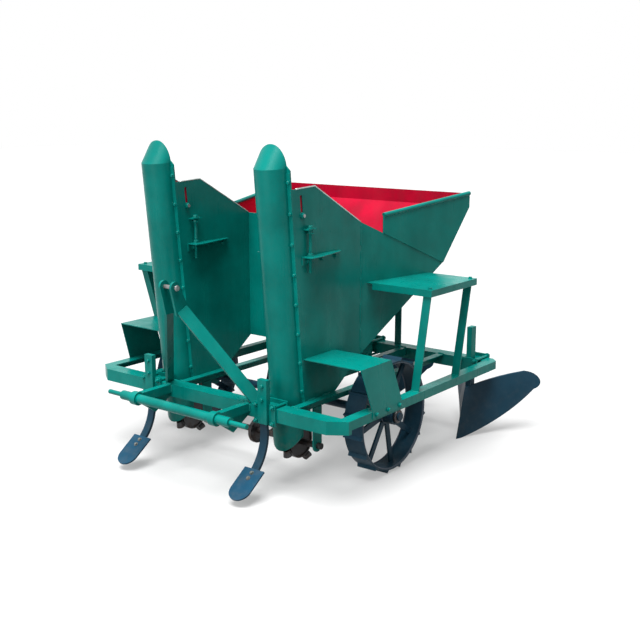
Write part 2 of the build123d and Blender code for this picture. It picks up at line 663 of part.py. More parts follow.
def tine():
    """Flat shank: straight through its clamp, then bowed forward to the back of the shovel."""
    path = [Line((TINE_X, -TINE_SET, TINE_TOP), (TINE_X, -TINE_SET, TINE_BEND_Z)),
            ThreePointArc((TINE_X, -TINE_SET, TINE_BEND_Z), (TINE_X, *TINE_BOW), (TINE_X, *TINE_FOOT))]
    section = Plane(origin=(TINE_X, -TINE_SET, TINE_TOP), x_dir=(1, 0, 0), z_dir=(0, 0, -1))
    return sweep(section * Rectangle(TINE_WIDTH, TINE_THICK), path=Wire(path), transition=Transition.RIGHT)


def clamp(x0, near, far, wide):
    """Two plates round a beam and a shank, held by four long bolts above and below the beam."""
    half = wide / 2
    thick = CLAMP_THICK
    middle = FRAME_TOP - BEAM_HEIGHT / 2
    reach = CLAMP_HEIGHT / 2 + CLAMP_THICK
    plates = box(x0 - half, x0 + half, near - thick, near, middle - reach, middle + reach)
    plates += box(x0 - half, x0 + half, far, far + thick, middle - reach, middle + reach)
    gap = BOLT_RADIUS + SEAT_GAP
    for side in (-1, 1):
        for z in (FRAME_TOP + gap, FRAME_TOP - BEAM_HEIGHT - gap):
            x = x0 + side * (half - 2 * BOLT_RADIUS)
            plates += rod((x, near - thick, z), (x, far + thick, z), BOLT_RADIUS)
    return plates


def tine_clamp():
    """Upright socket for the tine on the front of the beam, with the bolted plates that hold it there."""
    half = TINE_WIDTH / 2 + SOCKET_WALL
    front = -TINE_SET - TINE_THICK / 2 - SOCKET_WALL
    socket = box(TINE_X - half, TINE_X + half, front, 0, SOCKET_LOW, SOCKET_TOP)
    gap = SEAT_GAP
    bore = box(TINE_X - TINE_WIDTH / 2 - gap, TINE_X + TINE_WIDTH / 2 + gap, -TINE_SET - TINE_THICK / 2 - gap,
               -TINE_SET + TINE_THICK / 2 + gap, SOCKET_LOW - CLAMP_HEIGHT, TINE_TOP + gap)
    return clamp(TINE_X, 0, BEAM_DEPTH, CLAMP_WIDTH) + socket - bore


def ridger():
    """Two bowed wings that meet on a shin, with a frog plate behind, about X = 0."""
    y0 = REAR_FACE - RIDGER_SHANK[1] / 2
    start = (0, y0 + RIDGER_POINT)
    end = (RIDGER_SPREAD, y0 + RIDGER_SWEEP)
    middle = ((start[0] + end[0]) / 2 - RIDGER_BOW, (start[1] + end[1]) / 2 + RIDGER_BOW * 0.6)
    outside = ThreePointArc(start, middle, end)
    t = RIDGER_SHEET
    inside = ThreePointArc((end[0] - t, end[1] + t * 0.4), (middle[0] - t, middle[1] + t * 0.8),
                           (0, start[1] + 2.4 * t))
    face = make_face([outside, Line(end, (end[0] - t, end[1] + t * 0.4)), inside,
                      Line((0, start[1] + 2.4 * t), start)])
    back = Vector(0, RIDGER_SHIN, RIDGER_HEIGHT)
    sheet = extrude(face, amount=back.length, dir=back)
    r = (RIDGER_HEIGHT - RIDGER_TIP_LOW) / 2
    first, ahead = start[1], start[1] - t
    last = end[1] + RIDGER_SHIN * RIDGER_TIP_LOW / RIDGER_HEIGHT
    low_end, high_end = (last - 0.6 * r, RIDGER_TIP_LOW), (last - 0.8 * r, RIDGER_HEIGHT - 0.1 * r)
    toe = (first + RIDGER_NOSE, 0)
    outline = make_face([
        Line((ahead, 0), toe),
        ThreePointArc(toe, (first + RIDGER_BELLY[0], RIDGER_BELLY[1]), low_end),
        ThreePointArc(low_end, (last, RIDGER_TIP_LOW + 0.9 * r), high_end),
        Line(high_end, (first + RIDGER_SHIN, RIDGER_SHIN_TOP)),
        Line((first + RIDGER_SHIN, RIDGER_SHIN_TOP), (ahead, RIDGER_SHIN_TOP)),
        Line((ahead, RIDGER_SHIN_TOP), (ahead, 0))])
    silhouette = Plane(origin=(0, 0, 0), x_dir=(0, 1, 0), z_dir=(1, 0, 0)) * outline
    wing = sheet & extrude(silhouette, amount=RIDGER_SPREAD * 2)
    return wing + flipped(wing)


def ridger_shank():
    """Upright flat bar in front of the rear beam with the frog that bears on the wings."""
    wide, deep = RIDGER_SHANK
    rear = REAR_FACE
    shank = box(-wide / 2, wide / 2, rear - deep, rear, RIDGER_SHANK_FOOT, RIDGER_SHANK_TOP)
    frog = box(-RIDGER_SPREAD / 2, RIDGER_SPREAD / 2, rear + RIDGER_POINT * 0.55, rear + RIDGER_SWEEP * 0.25,
               RIDGER_SHANK_FOOT, RIDGER_SHANK_FOOT + FROG_THICK)
    return shank, frog


def frog_between(frog, wings):
    """The part of the frog plate that lies between the two wings, trimmed to their backs."""
    cut = frog - wings
    return min(cut.solids(), key=lambda solid: abs(solid.center().X))


# Hitch


def hitch_shaft():
    """Stepped cross shaft whose thin ends take the lower links."""
    shoulder = HITCH_SPREAD / 2
    tip = shoulder + HITCH_PIN_LENGTH
    shaft = rod((-shoulder, HITCH_Y, HITCH_Z), (shoulder, HITCH_Y, HITCH_Z), HITCH_SHAFT_RADIUS)
    return shaft + rod((-tip, HITCH_Y, HITCH_Z), (tip, HITCH_Y, HITCH_Z), HITCH_PIN_RADIUS)


def hitch_arm():
    """Square arm from the front beam with a collar round the cross shaft and a gusset below."""
    x0, x1 = ARM_X - ARM_WIDTH / 2, ARM_X + ARM_WIDTH / 2
    low = FRAME_TOP - ARM_DEPTH
    arm = box(x0, x1, HITCH_Y, 0, low, FRAME_TOP)
    arm += rod((x0, HITCH_Y, HITCH_Z), (x1, HITCH_Y, HITCH_Z), ARM_EYE)
    corners = [(HITCH_Y, HITCH_Z - ARM_EYE / 2), (GUSSET_Y, GUSSET_Z), (0, FRAME_TOP - BEAM_HEIGHT), (0, low)]
    arm += yz_plate(corners, ARM_X - GUSSET_THICK / 2, ARM_X + GUSSET_THICK / 2)
    bore = HITCH_SHAFT_RADIUS + SHAFT_CLEARANCE
    return arm - rod((0, HITCH_Y, HITCH_Z), (FRAME_WIDTH, HITCH_Y, HITCH_Z), bore)


def mast_head():
    """Two round-topped plates with the top-link pin holes."""
    near, far = MAST_GAP / 2, MAST_GAP / 2 + MAST_PLATE
    plate = rod((near, MAST_Y, MAST_PIN_Z), (far, MAST_Y, MAST_PIN_Z), MAST_HEAD_RADIUS)
    plate += yz_plate([(MAST_Y - MAST_HEAD_RADIUS, MAST_PIN_Z), (MAST_Y + MAST_HEAD_RADIUS, MAST_PIN_Z),
                       (MAST_JOIN_Y + MAST_LEG_WIDTH, MAST_JOIN_Z - MAST_HEAD_RADIUS),
                       (MAST_JOIN_Y - MAST_LEG_WIDTH / 2, MAST_JOIN_Z - MAST_HEAD_RADIUS)],
                      near, far)
    bore = rod((0, MAST_Y, MAST_PIN_Z), (FRAME_WIDTH, MAST_Y, MAST_PIN_Z), MAST_PIN_RADIUS + SHAFT_CLEARANCE)
    return plate - bore


def mast_leg(head):
    """Flat bar from the top of the front beam to the outside of a mast head plate."""
    out = MAST_GAP / 2 + MAST_PLATE
    foot = Vector(MAST_FOOT_X, MAST_FOOT_Y, FRAME_TOP)
    top = Vector(out, MAST_JOIN_Y, MAST_JOIN_Z)
    start = foot - (top - foot).normalized() * MAST_LEG_RUN
    leg = bar(tuple(start), tuple(top), MAST_LEG_WIDTH, MAST_LEG_THICK, (0, 1, 1))
    leg -= box(0, FRAME_WIDTH, -FRAME_WIDTH, FRAME_LENGTH, 0, FRAME_TOP)
    leg -= box(-FRAME_WIDTH, out, -FRAME_WIDTH, FRAME_LENGTH, 0, FRAME_WIDTH)
    return leg - head


# Platforms and guards


def platform(forward):
    """Top sheet beside the hopper with turned-down front and outer edges, moved forward by a distance."""
    t = PLATFORM_WALL
    front, rear = PLATFORM_FRONT - forward, PLATFORM_REAR - forward
    inner_front = max(FEED_OUT, wall_x(front, 0))
    outline = [(inner_front, front), (PLATFORM_OUTER, front), (PLATFORM_OUTER, rear), (wall_x(rear, 0), rear)]
    if front < FEED_BACK_Y:
        outline.append((FEED_OUT, FEED_BACK_Y))
    sheet = xy_plate(outline, PLATFORM_Z - t, PLATFORM_Z)
    lip = PLATFORM_Z - PLATFORM_LIP
    sheet += box(PLATFORM_OUTER - t, PLATFORM_OUTER, front, rear, lip, PLATFORM_Z)
    return sheet + box(inner_front + PLATFORM_LIP, PLATFORM_OUTER, front, front + t, lip, PLATFORM_Z)


def platform_legs(forward, rakes):
    """Front and rear splayed angle legs from the side rail to the underside of a platform."""
    t = PLATFORM_WALL
    tops = (PLATFORM_FRONT - forward + t + LEG_SET, PLATFORM_REAR - forward - LEG_WIDTH)
    legs = []
    for top_y, rake in zip(tops, rakes):
        foot = (LEG_FOOT_X - LEG_WIDTH / 2, top_y + rake, FRAME_TOP - LEG_WIDTH)
        top = (PLATFORM_OUTER - t - LEG_WIDTH - SEAT_GAP, top_y, PLATFORM_Z)
        leg = angle_bar(foot, top, LEG_WIDTH, LEG_WALL, (1, 0, 0))
        leg -= box(0, FRAME_WIDTH, 0, FRAME_LENGTH, PLATFORM_Z - t, FRAME_WIDTH)
        legs.append(leg - box(0, FRAME_WIDTH, 0, FRAME_LENGTH, 0, FRAME_TOP))
    return legs


def guard():
    """Level plate over the front of the wheel with a skewed plate down to the outside of the side rail."""
    t = GUARD_WALL
    level = box(FEED_OUT, GUARD_EDGE_X, GUARD_FRONT, GUARD_REAR, GUARD_Z - t, GUARD_Z)
    foot_x = HALF_FRAME
    top_face = [(GUARD_EDGE_X - t, GUARD_FRONT), (GUARD_EDGE_X, GUARD_FRONT), (GUARD_EDGE_X, GUARD_REAR),
                (GUARD_EDGE_X - t, GUARD_REAR)]
    foot_face = [(foot_x, GUARD_FRONT + GUARD_SKEW), (foot_x + t, GUARD_FRONT + GUARD_SKEW),
                 (foot_x + t, GUARD_REAR + GUARD_SKEW), (foot_x, GUARD_REAR + GUARD_SKEW)]
    top = Plane.XY.offset(GUARD_Z) * make_face(Polyline(*top_face, close=True))
    foot = Plane.XY.offset(FRAME_TOP) * make_face(Polyline(*foot_face, close=True))
    skirt = loft([top, foot], ruled=True)
    apron = box(foot_x, foot_x + t, GUARD_FRONT + GUARD_SKEW, GUARD_REAR + GUARD_SKEW, GUARD_FOOT_Z,
                FRAME_TOP)
    return level + skirt + apron


# Assembly

pieces = {}


def pair(name, part):
    """Store a piece for the left side and its copy for the right."""
    pieces[name + "_left"] = part
    pieces[name + "_right"] = flipped(part)


def both(name, *parts):
    """Store like pieces of both sides together."""
    pieces[name] = Part() + [*parts, *(flipped(part) for part in parts)]


pieces["front_beam"] = front_beam()
pieces["rear_beam"] = rear_beam()
both("side_rails", side_rail())
both("inner_rails", inner_rail(1), inner_rail(-1))

pair("tower_casing", tower_casing())
pair("tower_plate", tower_plate())
pair("feed_box", feed_box())
pair("cup_chain", cup_chain())
both("upper_shafts", upper_shaft())
both("shaft_hangers", shaft_hanger(1), shaft_hanger(-1))
both("chain_adjusters", adjuster(1), adjuster(-1))
pieces["lower_shaft"] = lower_shaft()

pair("hopper_end", end_wall())
pieces["hopper_rear"] = rear_wall()
pieces["hopper_front"] = front_wall()
pieces["hopper_saddle"] = saddle()
both("hopper_posts", hopper_post())

pair("ground_wheel", ground_wheel())
pieces["wheel_axle"] = axle()
both("axle_bearings", axle_bearing())
pieces["drive_chain"] = drive_chain()

blade = shovel()
both("shovels", blade)
both("tines", tine() - blade)
both("tine_clamps", tine_clamp())

wings = ridger()
shank, frog = ridger_shank()
shank_piece = shank - wings + frog_between(frog, wings)
ridger_places = (("left", RIDGER_X), ("middle", 0.0), ("right", -RIDGER_X))
for name, x in ridger_places:
    pieces["ridger_" + name] = Pos(x, 0, 0) * wings
pieces["ridger_shanks"] = Part() + [Pos(x, 0, 0) * shank_piece for _, x in ridger_places]
clamp_near = REAR_FACE - RIDGER_SHANK[1]
ridger_clamps = [clamp(x, clamp_near, FRAME_LENGTH, RIDGER_CLAMP_WIDTH) for _, x in ridger_places]
pieces["ridger_clamps"] = Part() + ridger_clamps

pieces["hitch_shaft"] = hitch_shaft()
both("hitch_arms", hitch_arm())
head = mast_head()
both("mast_heads", head)
both("mast_legs", mast_leg(head))
pin_end = MAST_GAP / 2 + MAST_PLATE + TOP_PIN_OVERHANG
pieces["top_link_pin"] = rod((-pin_end, MAST_Y, MAST_PIN_Z), (pin_end, MAST_Y, MAST_PIN_Z), MAST_PIN_RADIUS)

pieces["platform_left"] = platform(0)
pieces["platform_right"] = flipped(platform(PLATFORM_RIGHT_FORWARD))
right_legs = [flipped(leg) for leg in platform_legs(PLATFORM_RIGHT_FORWARD, LEG_RAKE_RIGHT)]
pieces["platform_legs"] = Part() + [*platform_legs(0, LEG_RAKE), *right_legs]
pair("wheel_guard", guard())

bounds = Compound(children=[Part() + part for part in pieces.values()]).bounding_box()
centre = bounds.center()
home = Pos(-centre.X, -centre.Y, -bounds.min.Z)
print("moved by", -centre.X, -centre.Y, -bounds.min.Z)
print("box", bounds.size)
print("lower shaft at", *on_tower(CHAIN_MIDDLE, CHAIN_LOW))

os.makedirs("parts", exist_ok=True)
for name, part in pieces.items():
    export_step(home * part, "parts/" + name + ".step")
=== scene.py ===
"""Dresses the potato planter: paint, red lining, bolts, welds, rim rolls, threads, links, and pale bare-metal
edge beads that partly stand in as painted highlights.
"""

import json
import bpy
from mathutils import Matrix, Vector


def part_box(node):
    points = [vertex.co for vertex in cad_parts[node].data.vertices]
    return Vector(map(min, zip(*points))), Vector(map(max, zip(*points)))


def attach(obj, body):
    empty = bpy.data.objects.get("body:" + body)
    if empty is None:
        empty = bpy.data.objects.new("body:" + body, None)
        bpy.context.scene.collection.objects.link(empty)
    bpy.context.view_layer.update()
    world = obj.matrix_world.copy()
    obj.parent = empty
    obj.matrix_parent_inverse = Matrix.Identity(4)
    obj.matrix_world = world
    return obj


bl_info = {
    "name": "Potato planter dressing",
    "version": (1, 0, 0),
    "blender": (4, 5, 0),
    "location": "View3D > Sidebar > Planter",
    "description": "Paints the planter and adds its lining, fasteners, weld beads and chain links",
    "category": "Object",
}

from math import radians

import bpy
import numpy as np
from bpy.props import FloatProperty, FloatVectorProperty, IntProperty, PointerProperty

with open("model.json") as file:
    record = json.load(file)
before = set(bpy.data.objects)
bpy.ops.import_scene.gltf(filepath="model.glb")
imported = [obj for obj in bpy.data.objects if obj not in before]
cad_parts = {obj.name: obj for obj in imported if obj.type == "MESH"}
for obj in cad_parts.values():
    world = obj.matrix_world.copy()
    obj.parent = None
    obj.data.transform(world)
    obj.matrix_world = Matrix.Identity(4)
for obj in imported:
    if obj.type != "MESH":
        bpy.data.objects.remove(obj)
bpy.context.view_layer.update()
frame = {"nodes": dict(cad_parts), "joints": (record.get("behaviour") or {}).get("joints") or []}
NODES = frame["nodes"]

# The machine's own datum lines, in metres, read from the frame where a node gives them.
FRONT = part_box("front_beam")[0].y
BEAM_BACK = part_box("front_beam")[1].y
FRAME_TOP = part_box("front_beam")[1].z
BEAM_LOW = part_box("front_beam")[0].z
REAR_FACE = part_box("rear_beam")[0].y
REAR_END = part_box("rear_beam")[1].y
FEED_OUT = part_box("feed_box_left")[1].x
FEED_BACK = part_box("feed_box_left")[1].y
AXLE = np.array([0.0, *frame["joints"][0]["pos_m"][1:]])

# Places that no box gives: across the machine, behind FRONT, or up from the ground.
ROW_X = 0.350
FEED_IN = ROW_X - 0.1
LEAN = radians(5.24)
TOWER_FOOT = FRONT + 0.169
UPPER_SHAFT = (0.062, 0.838)
LOWER_SHAFT = np.array([FRONT + 0.252203, 0.171644])
TINE_X = 0.363
RIDGER_X = 0.665
RAIL_EDGES = ((0.450, 0.488), (0.212, 0.250))
RIGHT_PLATFORM_FORWARD = 0.290

# Hopper and feed box sheets: (distance behind FRONT, height) of a corner, or a height.
SHEET = 0.004
HOPPER_FLARE = 0.2
HOPPER_FLOOR_Z = 0.537
HOPPER_KNEE = (1.150, 0.924)
HOPPER_BAND_Z = 1.192
HOPPER_RIM_Z = 1.263
HOPPER_FRONT_LOW = 0.845
WING_FRONT = (0.735, 1.195)
FEED_BACK_Z = 1.172
FEED_SIDE = ((0.398, 0.410), (0.190, 0.500), (0.096, 1.350), (0.245, 1.357), (0.589, 1.168), (0.589, 0.545))
FEED_EDGE = ((0.110, 1.356), (0.245, 1.362), (FEED_BACK - FRONT - 0.003, 1.1735))
LINING_GAP = 0.0008
LINING = 0.0012
# Triangles of a hopper side, whose outline turns inwards at its third corner.
WING_CUT = ((0, 1, 2), (0, 2, 6), (2, 3, 4), (2, 4, 5), (2, 5, 6))

SCREW_NUT = 0.0125

PAINTED = ("front_beam", "rear_beam", "side_rails", "inner_rails", "tower_casing_left", "tower_casing_right",
           "tower_plate_left", "tower_plate_right", "feed_box_left", "feed_box_right", "shaft_hangers",
           "chain_adjusters", "hopper_end_left", "hopper_end_right", "hopper_rear", "hopper_front",
           "hopper_posts", "axle_bearings", "tine_clamps", "ridger_clamps", "hitch_shaft", "hitch_arms",
           "mast_heads", "mast_legs", "platform_left", "platform_right", "platform_legs",
           "wheel_guard_left", "wheel_guard_right")
NAVY = ("ground_wheel_left", "ground_wheel_right", "wheel_axle", "tines", "ridger_left", "ridger_middle",
        "ridger_right")
STEEL = ("upper_shafts", "top_link_pin")
CHAIN = ("cup_chain_left", "cup_chain_right", "drive_chain", "lower_shaft")


class PlanterPaint(bpy.types.PropertyGroup):
    """Colours and wear of the finishes."""

    green: FloatVectorProperty(name="Green paint", description="Teal paint of the frame and hopper",
                               subtype="COLOR", size=3, min=0, max=1, default=(0.0, 0.205, 0.176))
    red: FloatVectorProperty(name="Red lining", description="Paint inside the hopper", subtype="COLOR",
                             size=3, min=0, max=1, default=(0.52, 0.003, 0.032))
    navy: FloatVectorProperty(name="Navy paint", description="Paint of the wheels, shanks and ridgers",
                              subtype="COLOR", size=3, min=0, max=1, default=(0.010, 0.042, 0.071))
    blade: FloatVectorProperty(name="Blade blue", description="Paint of the shovels", subtype="COLOR",
                               size=3, min=0, max=1, default=(0.010, 0.064, 0.120))
    dust: FloatVectorProperty(name="Dust", description="Dry soil near the ground", subtype="COLOR",
                              size=3, min=0, max=1, default=(0.20, 0.17, 0.13))
    wear: FloatProperty(name="Wear", description="Share of the paint that has chipped", min=0, max=1,
                        subtype="FACTOR", default=0.22)


class PlanterFixings(bpy.types.PropertyGroup):
    """Sizes of bolts, welds and links."""

    head: FloatProperty(name="Bolt head", description="Radius across the corners of a flange bolt",
                        subtype="DISTANCE", unit="LENGTH", min=0.003, default=0.0085)
    nut: FloatProperty(name="Clamp nut", description="Radius across the corners of a clamp nut",
                       subtype="DISTANCE", unit="LENGTH", min=0.005, default=0.0110)
    bead: FloatProperty(name="Weld bead", description="Radius of a weld bead", subtype="DISTANCE",
                        unit="LENGTH", min=0.001, default=0.0045)
    ripple: FloatProperty(name="Weld ripple", description="Length of one ripple along a bead",
                          subtype="DISTANCE", unit="LENGTH", min=0.002, default=0.006)
    pitch: FloatProperty(name="Thread pitch", description="Rise of the adjuster screws in one turn",
                         subtype="DISTANCE", unit="LENGTH", min=0.001, default=0.0035)
    links: IntProperty(name="Drive links", description="Links round the drive chain", min=20, default=46)


class PlanterStage(bpy.types.PropertyGroup):
    """Floor, lamps and camera."""

    key: FloatProperty(name="Key lamp", description="Strength of the broad light from overhead", min=0,
                       default=5.2)
    fill: FloatProperty(name="Fill lamp", description="Power of the lamp in front of the towers",
                        subtype="POWER", unit="POWER", min=0, default=110.0)
    lens: FloatProperty(name="Lens", description="Focal length on a 36 mm sensor", subtype="DISTANCE_CAMERA",
                        unit="CAMERA", min=10, default=56.05)
    floor: FloatVectorProperty(name="Floor", description="Floor and backdrop", subtype="COLOR", size=3,
                               min=0, max=1, default=(0.4, 0.4, 0.4))


# Meshes from arrays


def piece(name, verts, faces, material, body, slot, smooth=False):
    """Mesh object from vertex and face arrays, with its material and body; the slot argument is not used."""
    mesh = bpy.data.meshes.new(name)
    mesh.from_pydata(np.asarray(verts, float).reshape(-1, 3).tolist(), [], np.asarray(faces).tolist())
    mesh.validate()
    mesh.polygons.foreach_set("use_smooth", np.full(len(mesh.polygons), smooth))
    mesh.materials.append(material)
    obj = bpy.data.objects.new(name, mesh)
    bpy.context.scene.collection.objects.link(obj)
    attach(obj, body)
    return obj


def join(parts):
    """One pair of arrays from several: each part's face numbers rise by the vertices before it."""
    counts = np.cumsum([0] + [len(v) for v, _ in parts])
    verts = np.concatenate([v for v, _ in parts])
    return verts, np.concatenate([f + start for (_, f), start in zip(parts, counts)])


def mirrored(shape):
    """The shape across the middle plane: X changes sign and each face runs the other way."""
    verts, faces = shape
    return verts * [-1, 1, 1], faces[:, ::-1]


def turns(sides):
    """Equal angles once round."""
    return 2 * np.pi * np.arange(sides) / sides


def skin(rings, ends):
    """Closed surface over a grid of rings: two triangles between neighbours and a fan to each end point."""
    count, sides = rings.shape[:2]
    i, j = np.meshgrid(np.arange(count - 1), np.arange(sides), indexing="ij")
    p, q = i * sides + j, i * sides + (j + 1) % sides
    j = np.arange(sides)
    n, top, last = (j + 1) % sides, (count - 1) * sides, count * sides
    faces = np.concatenate([np.stack([p, q, q + sides], -1).reshape(-1, 3),
                            np.stack([p, q + sides, p + sides], -1).reshape(-1, 3),
                            np.stack([n, j, np.full(sides, last)], -1),
                            np.stack([top + j, top + n, np.full(sides, last + 1)], -1)])
    return np.concatenate([rings.reshape(-1, 3), ends]), faces


def lathe(radii, heights, sides):
    """Surface of revolution: ring k is radii[k] * (cos a, sin a) at heights[k], closed on the axis."""
    a = turns(sides)
    radii, heights = np.asarray(radii, float), np.asarray(heights, float)
    rings = np.stack([np.outer(radii, np.cos(a)), np.outer(radii, np.sin(a)),
                      np.repeat(heights[:, None], sides, 1)], -1)
    return skin(rings, [[0, 0, heights[0]], [0, 0, heights[-1]]])


def frames(axes):
    """Turning matrices: the third row is the axis, the first the least aligned base crossed with it."""
    axes = np.asarray(axes, float)
    axes = axes / np.linalg.norm(axes, axis=1, keepdims=True)
    base = np.eye(3)[np.argmin(np.abs(axes), axis=1)]
    first = np.cross(base, axes)
    first /= np.linalg.norm(first, axis=1, keepdims=True)
    return np.stack([first, np.cross(axes, first), axes], 1)


def scatter(shape, places, axes):
    """Copies of one shape: each vertex times a place's turning matrix, plus the place."""
    verts, faces = shape
    places = np.asarray(places, float)
    rows = frames(np.broadcast_to(np.asarray(axes, float), places.shape))  # one axis can serve all places
    all_verts = np.einsum("vk,nkc->nvc", verts, rows) + places[:, None, :]
    all_faces = faces[None] + (np.arange(len(places)) * len(verts))[:, None, None]
    return all_verts.reshape(-1, 3), all_faces.reshape(-1, 3)


def hex_head(radius):
    """Washer, then a six-sided head with a turned chamfer, as two closed lathes on one axis."""
    washer = lathe([1.28 * radius, 1.34 * radius, 1.3 * radius], np.array([0, 0.12, 0.24]) * radius, 20)
    head = lathe(np.array([1, 1, 0.9, 0.55]) * radius, np.array([0.24, 0.86, 1.0, 1.04]) * radius, 6)
    return join([washer, head])


def stud_nut(radius):
    """Washer, six-sided nut and the end of its stud standing out with a small chamfer."""
    washer = lathe([1.3 * radius, 1.38 * radius, 1.34 * radius], np.array([0, 0.1, 0.2]) * radius, 20)
    nut = lathe(np.array([0.92, 1, 1, 0.9, 0.6]) * radius,
                np.array([0.2, 0.27, 0.95, 1.04, 1.05]) * radius, 6)
    stud = lathe(np.array([0.52, 0.52, 0.44]) * radius, np.array([1.0, 1.5, 1.6]) * radius, 14)
    return join([washer, nut, stud])


def tube(path, radii, sides=8):
    """Round section along a path: centre plus radius times (cos a, sin a) in the plane across the path."""
    path = np.asarray(path, float)
    run = np.gradient(path, axis=0)
    straight = np.ptp(run, 0).max() < 1e-9
    rows = frames(np.repeat((path[-1] - path[0])[None], len(path), 0) if straight else run)
    a = turns(sides)
    section = np.stack([np.cos(a), np.sin(a)], -1)
    across_path = np.einsum("sk,nkc->nsc", section, rows[:, :2])
    return skin(path[:, None] + np.asarray(radii)[:, None, None] * across_path, path[[0, -1]])


def bead(start, end, radius, ripple):
    """Weld bead on a line: radius swells by a fifth once each ripple and falls to nothing at both ends."""
    start, end = np.asarray(start, float), np.asarray(end, float)
    length = np.linalg.norm(end - start)
    s = np.linspace(0, 1, max(12, int(4 * length / ripple)))
    swell = 1 + 0.2 * np.abs(np.sin(np.pi * s * length / ripple))
    taper = np.clip(np.minimum(s, 1 - s) * length / radius + 0.25, 0.25, 1)
    return tube(start + s[:, None] * (end - start), radius * swell * taper)


def ring(centre, axis, major, minor, sides, section=8):
    """Torus: (major + minor cos b) round the axis at angle a, raised by minor sin b along it."""
    a, b = turns(sides), turns(section)
    out = major + minor * np.cos(b)[None]
    verts = np.stack([out * np.cos(a)[:, None], out * np.sin(a)[:, None],
                      np.repeat(minor * np.sin(b)[None], sides, 0)], -1).reshape(-1, 3)
    i, j = np.meshgrid(np.arange(sides), np.arange(section), indexing="ij")
    p, q = i * section + j, ((i + 1) % sides) * section + j
    r, t = ((i + 1) % sides) * section + (j + 1) % section, i * section + (j + 1) % section
    faces = np.concatenate([np.stack([p, q, r], -1).reshape(-1, 3), np.stack([p, r, t], -1).reshape(-1, 3)])
    return verts @ frames([axis])[0] + np.asarray(centre, float), faces


def slab(outline, thick, cut=None):
    """Flat sheet: an outline moved by a vector, its faces cut as given or fanned from the first corner."""
    outline = np.asarray(outline, float)
    n = len(outline)
    k = np.arange(1, n - 1)
    cut = np.stack([np.zeros_like(k), k, k + 1], -1) if cut is None else np.asarray(cut)
    j = np.arange(n)
    m = (j + 1) % n
    sides = np.concatenate([np.stack([j, m, m + n], -1), np.stack([j, m + n, j + n], -1)])
    verts = np.concatenate([outline, outline + np.asarray(thick, float)])
    return verts, np.concatenate([cut[:, ::-1], cut + n, sides])


def row(x, y, z):
    """Places in a line along Y at one X and one height."""
    return np.stack(np.broadcast_arrays(x, np.asarray(y, float), z), -1)


def flare(y):
    """Half width inside the hopper's lining: it grows by the flare behind the feed boxes."""
    return FEED_OUT + HOPPER_FLARE * (y - FEED_BACK) - 1.02 * SHEET - LINING_GAP


def across(places):
    """The places and their copies on the other side of the middle plane."""
    places = np.asarray(places, float)
    return np.concatenate([places, places * [-1, 1, 1]])


def on_tower(x, y, z):
    """Points given on a tower's own leaning axes, moved to the left row in the row frame."""
    x, y, z = np.broadcast_arrays(x, y, z)
    c, s = np.cos(LEAN), np.sin(LEAN)
    return np.stack([ROW_X + x, TOWER_FOOT + y * c - z * s, FRAME_TOP + y * s + z * c], -1)


# Finishes


def node_group(name, inputs, outputs):
    """Empty shader group with float or colour sockets, and its two end nodes."""
    group = bpy.data.node_groups.new(name, "ShaderNodeTree")
    for label, kind, value in inputs:
        socket = group.interface.new_socket(label, in_out="INPUT", socket_type=kind)
        socket.default_value = value
    for label, kind in outputs:
        group.interface.new_socket(label, in_out="OUTPUT", socket_type=kind)
    return group, group.nodes.new("NodeGroupInput"), group.nodes.new("NodeGroupOutput")


def link(tree, *pairs):
    """Connect each (from socket, to socket) pair."""
    for source, target in pairs:
        tree.links.new(source, target)


def noise(tree, vector, scale, detail, rough=0.55):
    """Noise texture on a vector."""
    node = tree.nodes.new("ShaderNodeTexNoise")
    node.inputs["Scale"].default_value = scale
    node.inputs["Detail"].default_value = detail
    node.inputs["Roughness"].default_value = rough
    tree.links.new(vector, node.inputs["Vector"])
    return node.outputs["Fac"]


def remap(tree, value, low, high, to_low=0.0, to_high=1.0):
    """Smooth map of a value from one range to another."""
    node = tree.nodes.new("ShaderNodeMapRange")
    node.interpolation_type = "SMOOTHSTEP"
    for label, number in (("From Min", low), ("From Max", high), ("To Min", to_low), ("To Max", to_high)):
        node.inputs[label].default_value = number
    tree.links.new(value, node.inputs["Value"])
    return node.outputs["Result"]


def calc(tree, operation, a, b):
    """One arithmetic node on two sockets or numbers."""
    node = tree.nodes.new("ShaderNodeMath")
    node.operation = operation
    for socket, value in zip(node.inputs, (a, b)):
        if isinstance(value, (int, float)):
            socket.default_value = value
        else:
            tree.links.new(value, socket)
    return node.outputs[0]


def blend(tree, factor, a, b, mode="MIX"):
    """Colour mix of two sockets or colours."""
    node = tree.nodes.new("ShaderNodeMix")
    node.data_type = "RGBA"
    node.blend_type = mode
    colours = [s for s in node.inputs if s.type == "RGBA"]
    for socket, value in zip((node.inputs["Factor"], *colours), (factor, a, b)):
        if hasattr(value, "is_linked"):
            tree.links.new(value, socket)
        elif isinstance(value, (int, float)):
            socket.default_value = value
        else:
            socket.default_value = (*value, 1.0)
    return [s for s in node.outputs if s.type == "RGBA"][0]


def object_place(tree):
    """The point on the piece, in the object's own coordinates."""
    return tree.nodes.new("ShaderNodeTexCoord").outputs["Object"]


def stretched(tree, vector, scale):
    """A vector with each axis scaled by itself."""
    node = tree.nodes.new("ShaderNodeMapping")
    node.inputs["Scale"].default_value = scale
    link(tree, (vector, node.inputs["Vector"]))
    return node.outputs["Vector"]


def height_above(tree, vector):
    """The Z of a vector."""
    node = tree.nodes.new("ShaderNodeSeparateXYZ")
    link(tree, (vector, node.inputs["Vector"]))
    return node.outputs["Z"]


def times(tree, a, b):
    """Product of two sockets or numbers."""
    return calc(tree, "MULTIPLY", a, b)


def plus(tree, a, b):
    """Sum of two sockets or numbers."""
    return calc(tree, "ADD", a, b)


SURFACE = [("Color", "NodeSocketColor"), ("Roughness", "NodeSocketFloat"), ("Height", "NodeSocketFloat")]


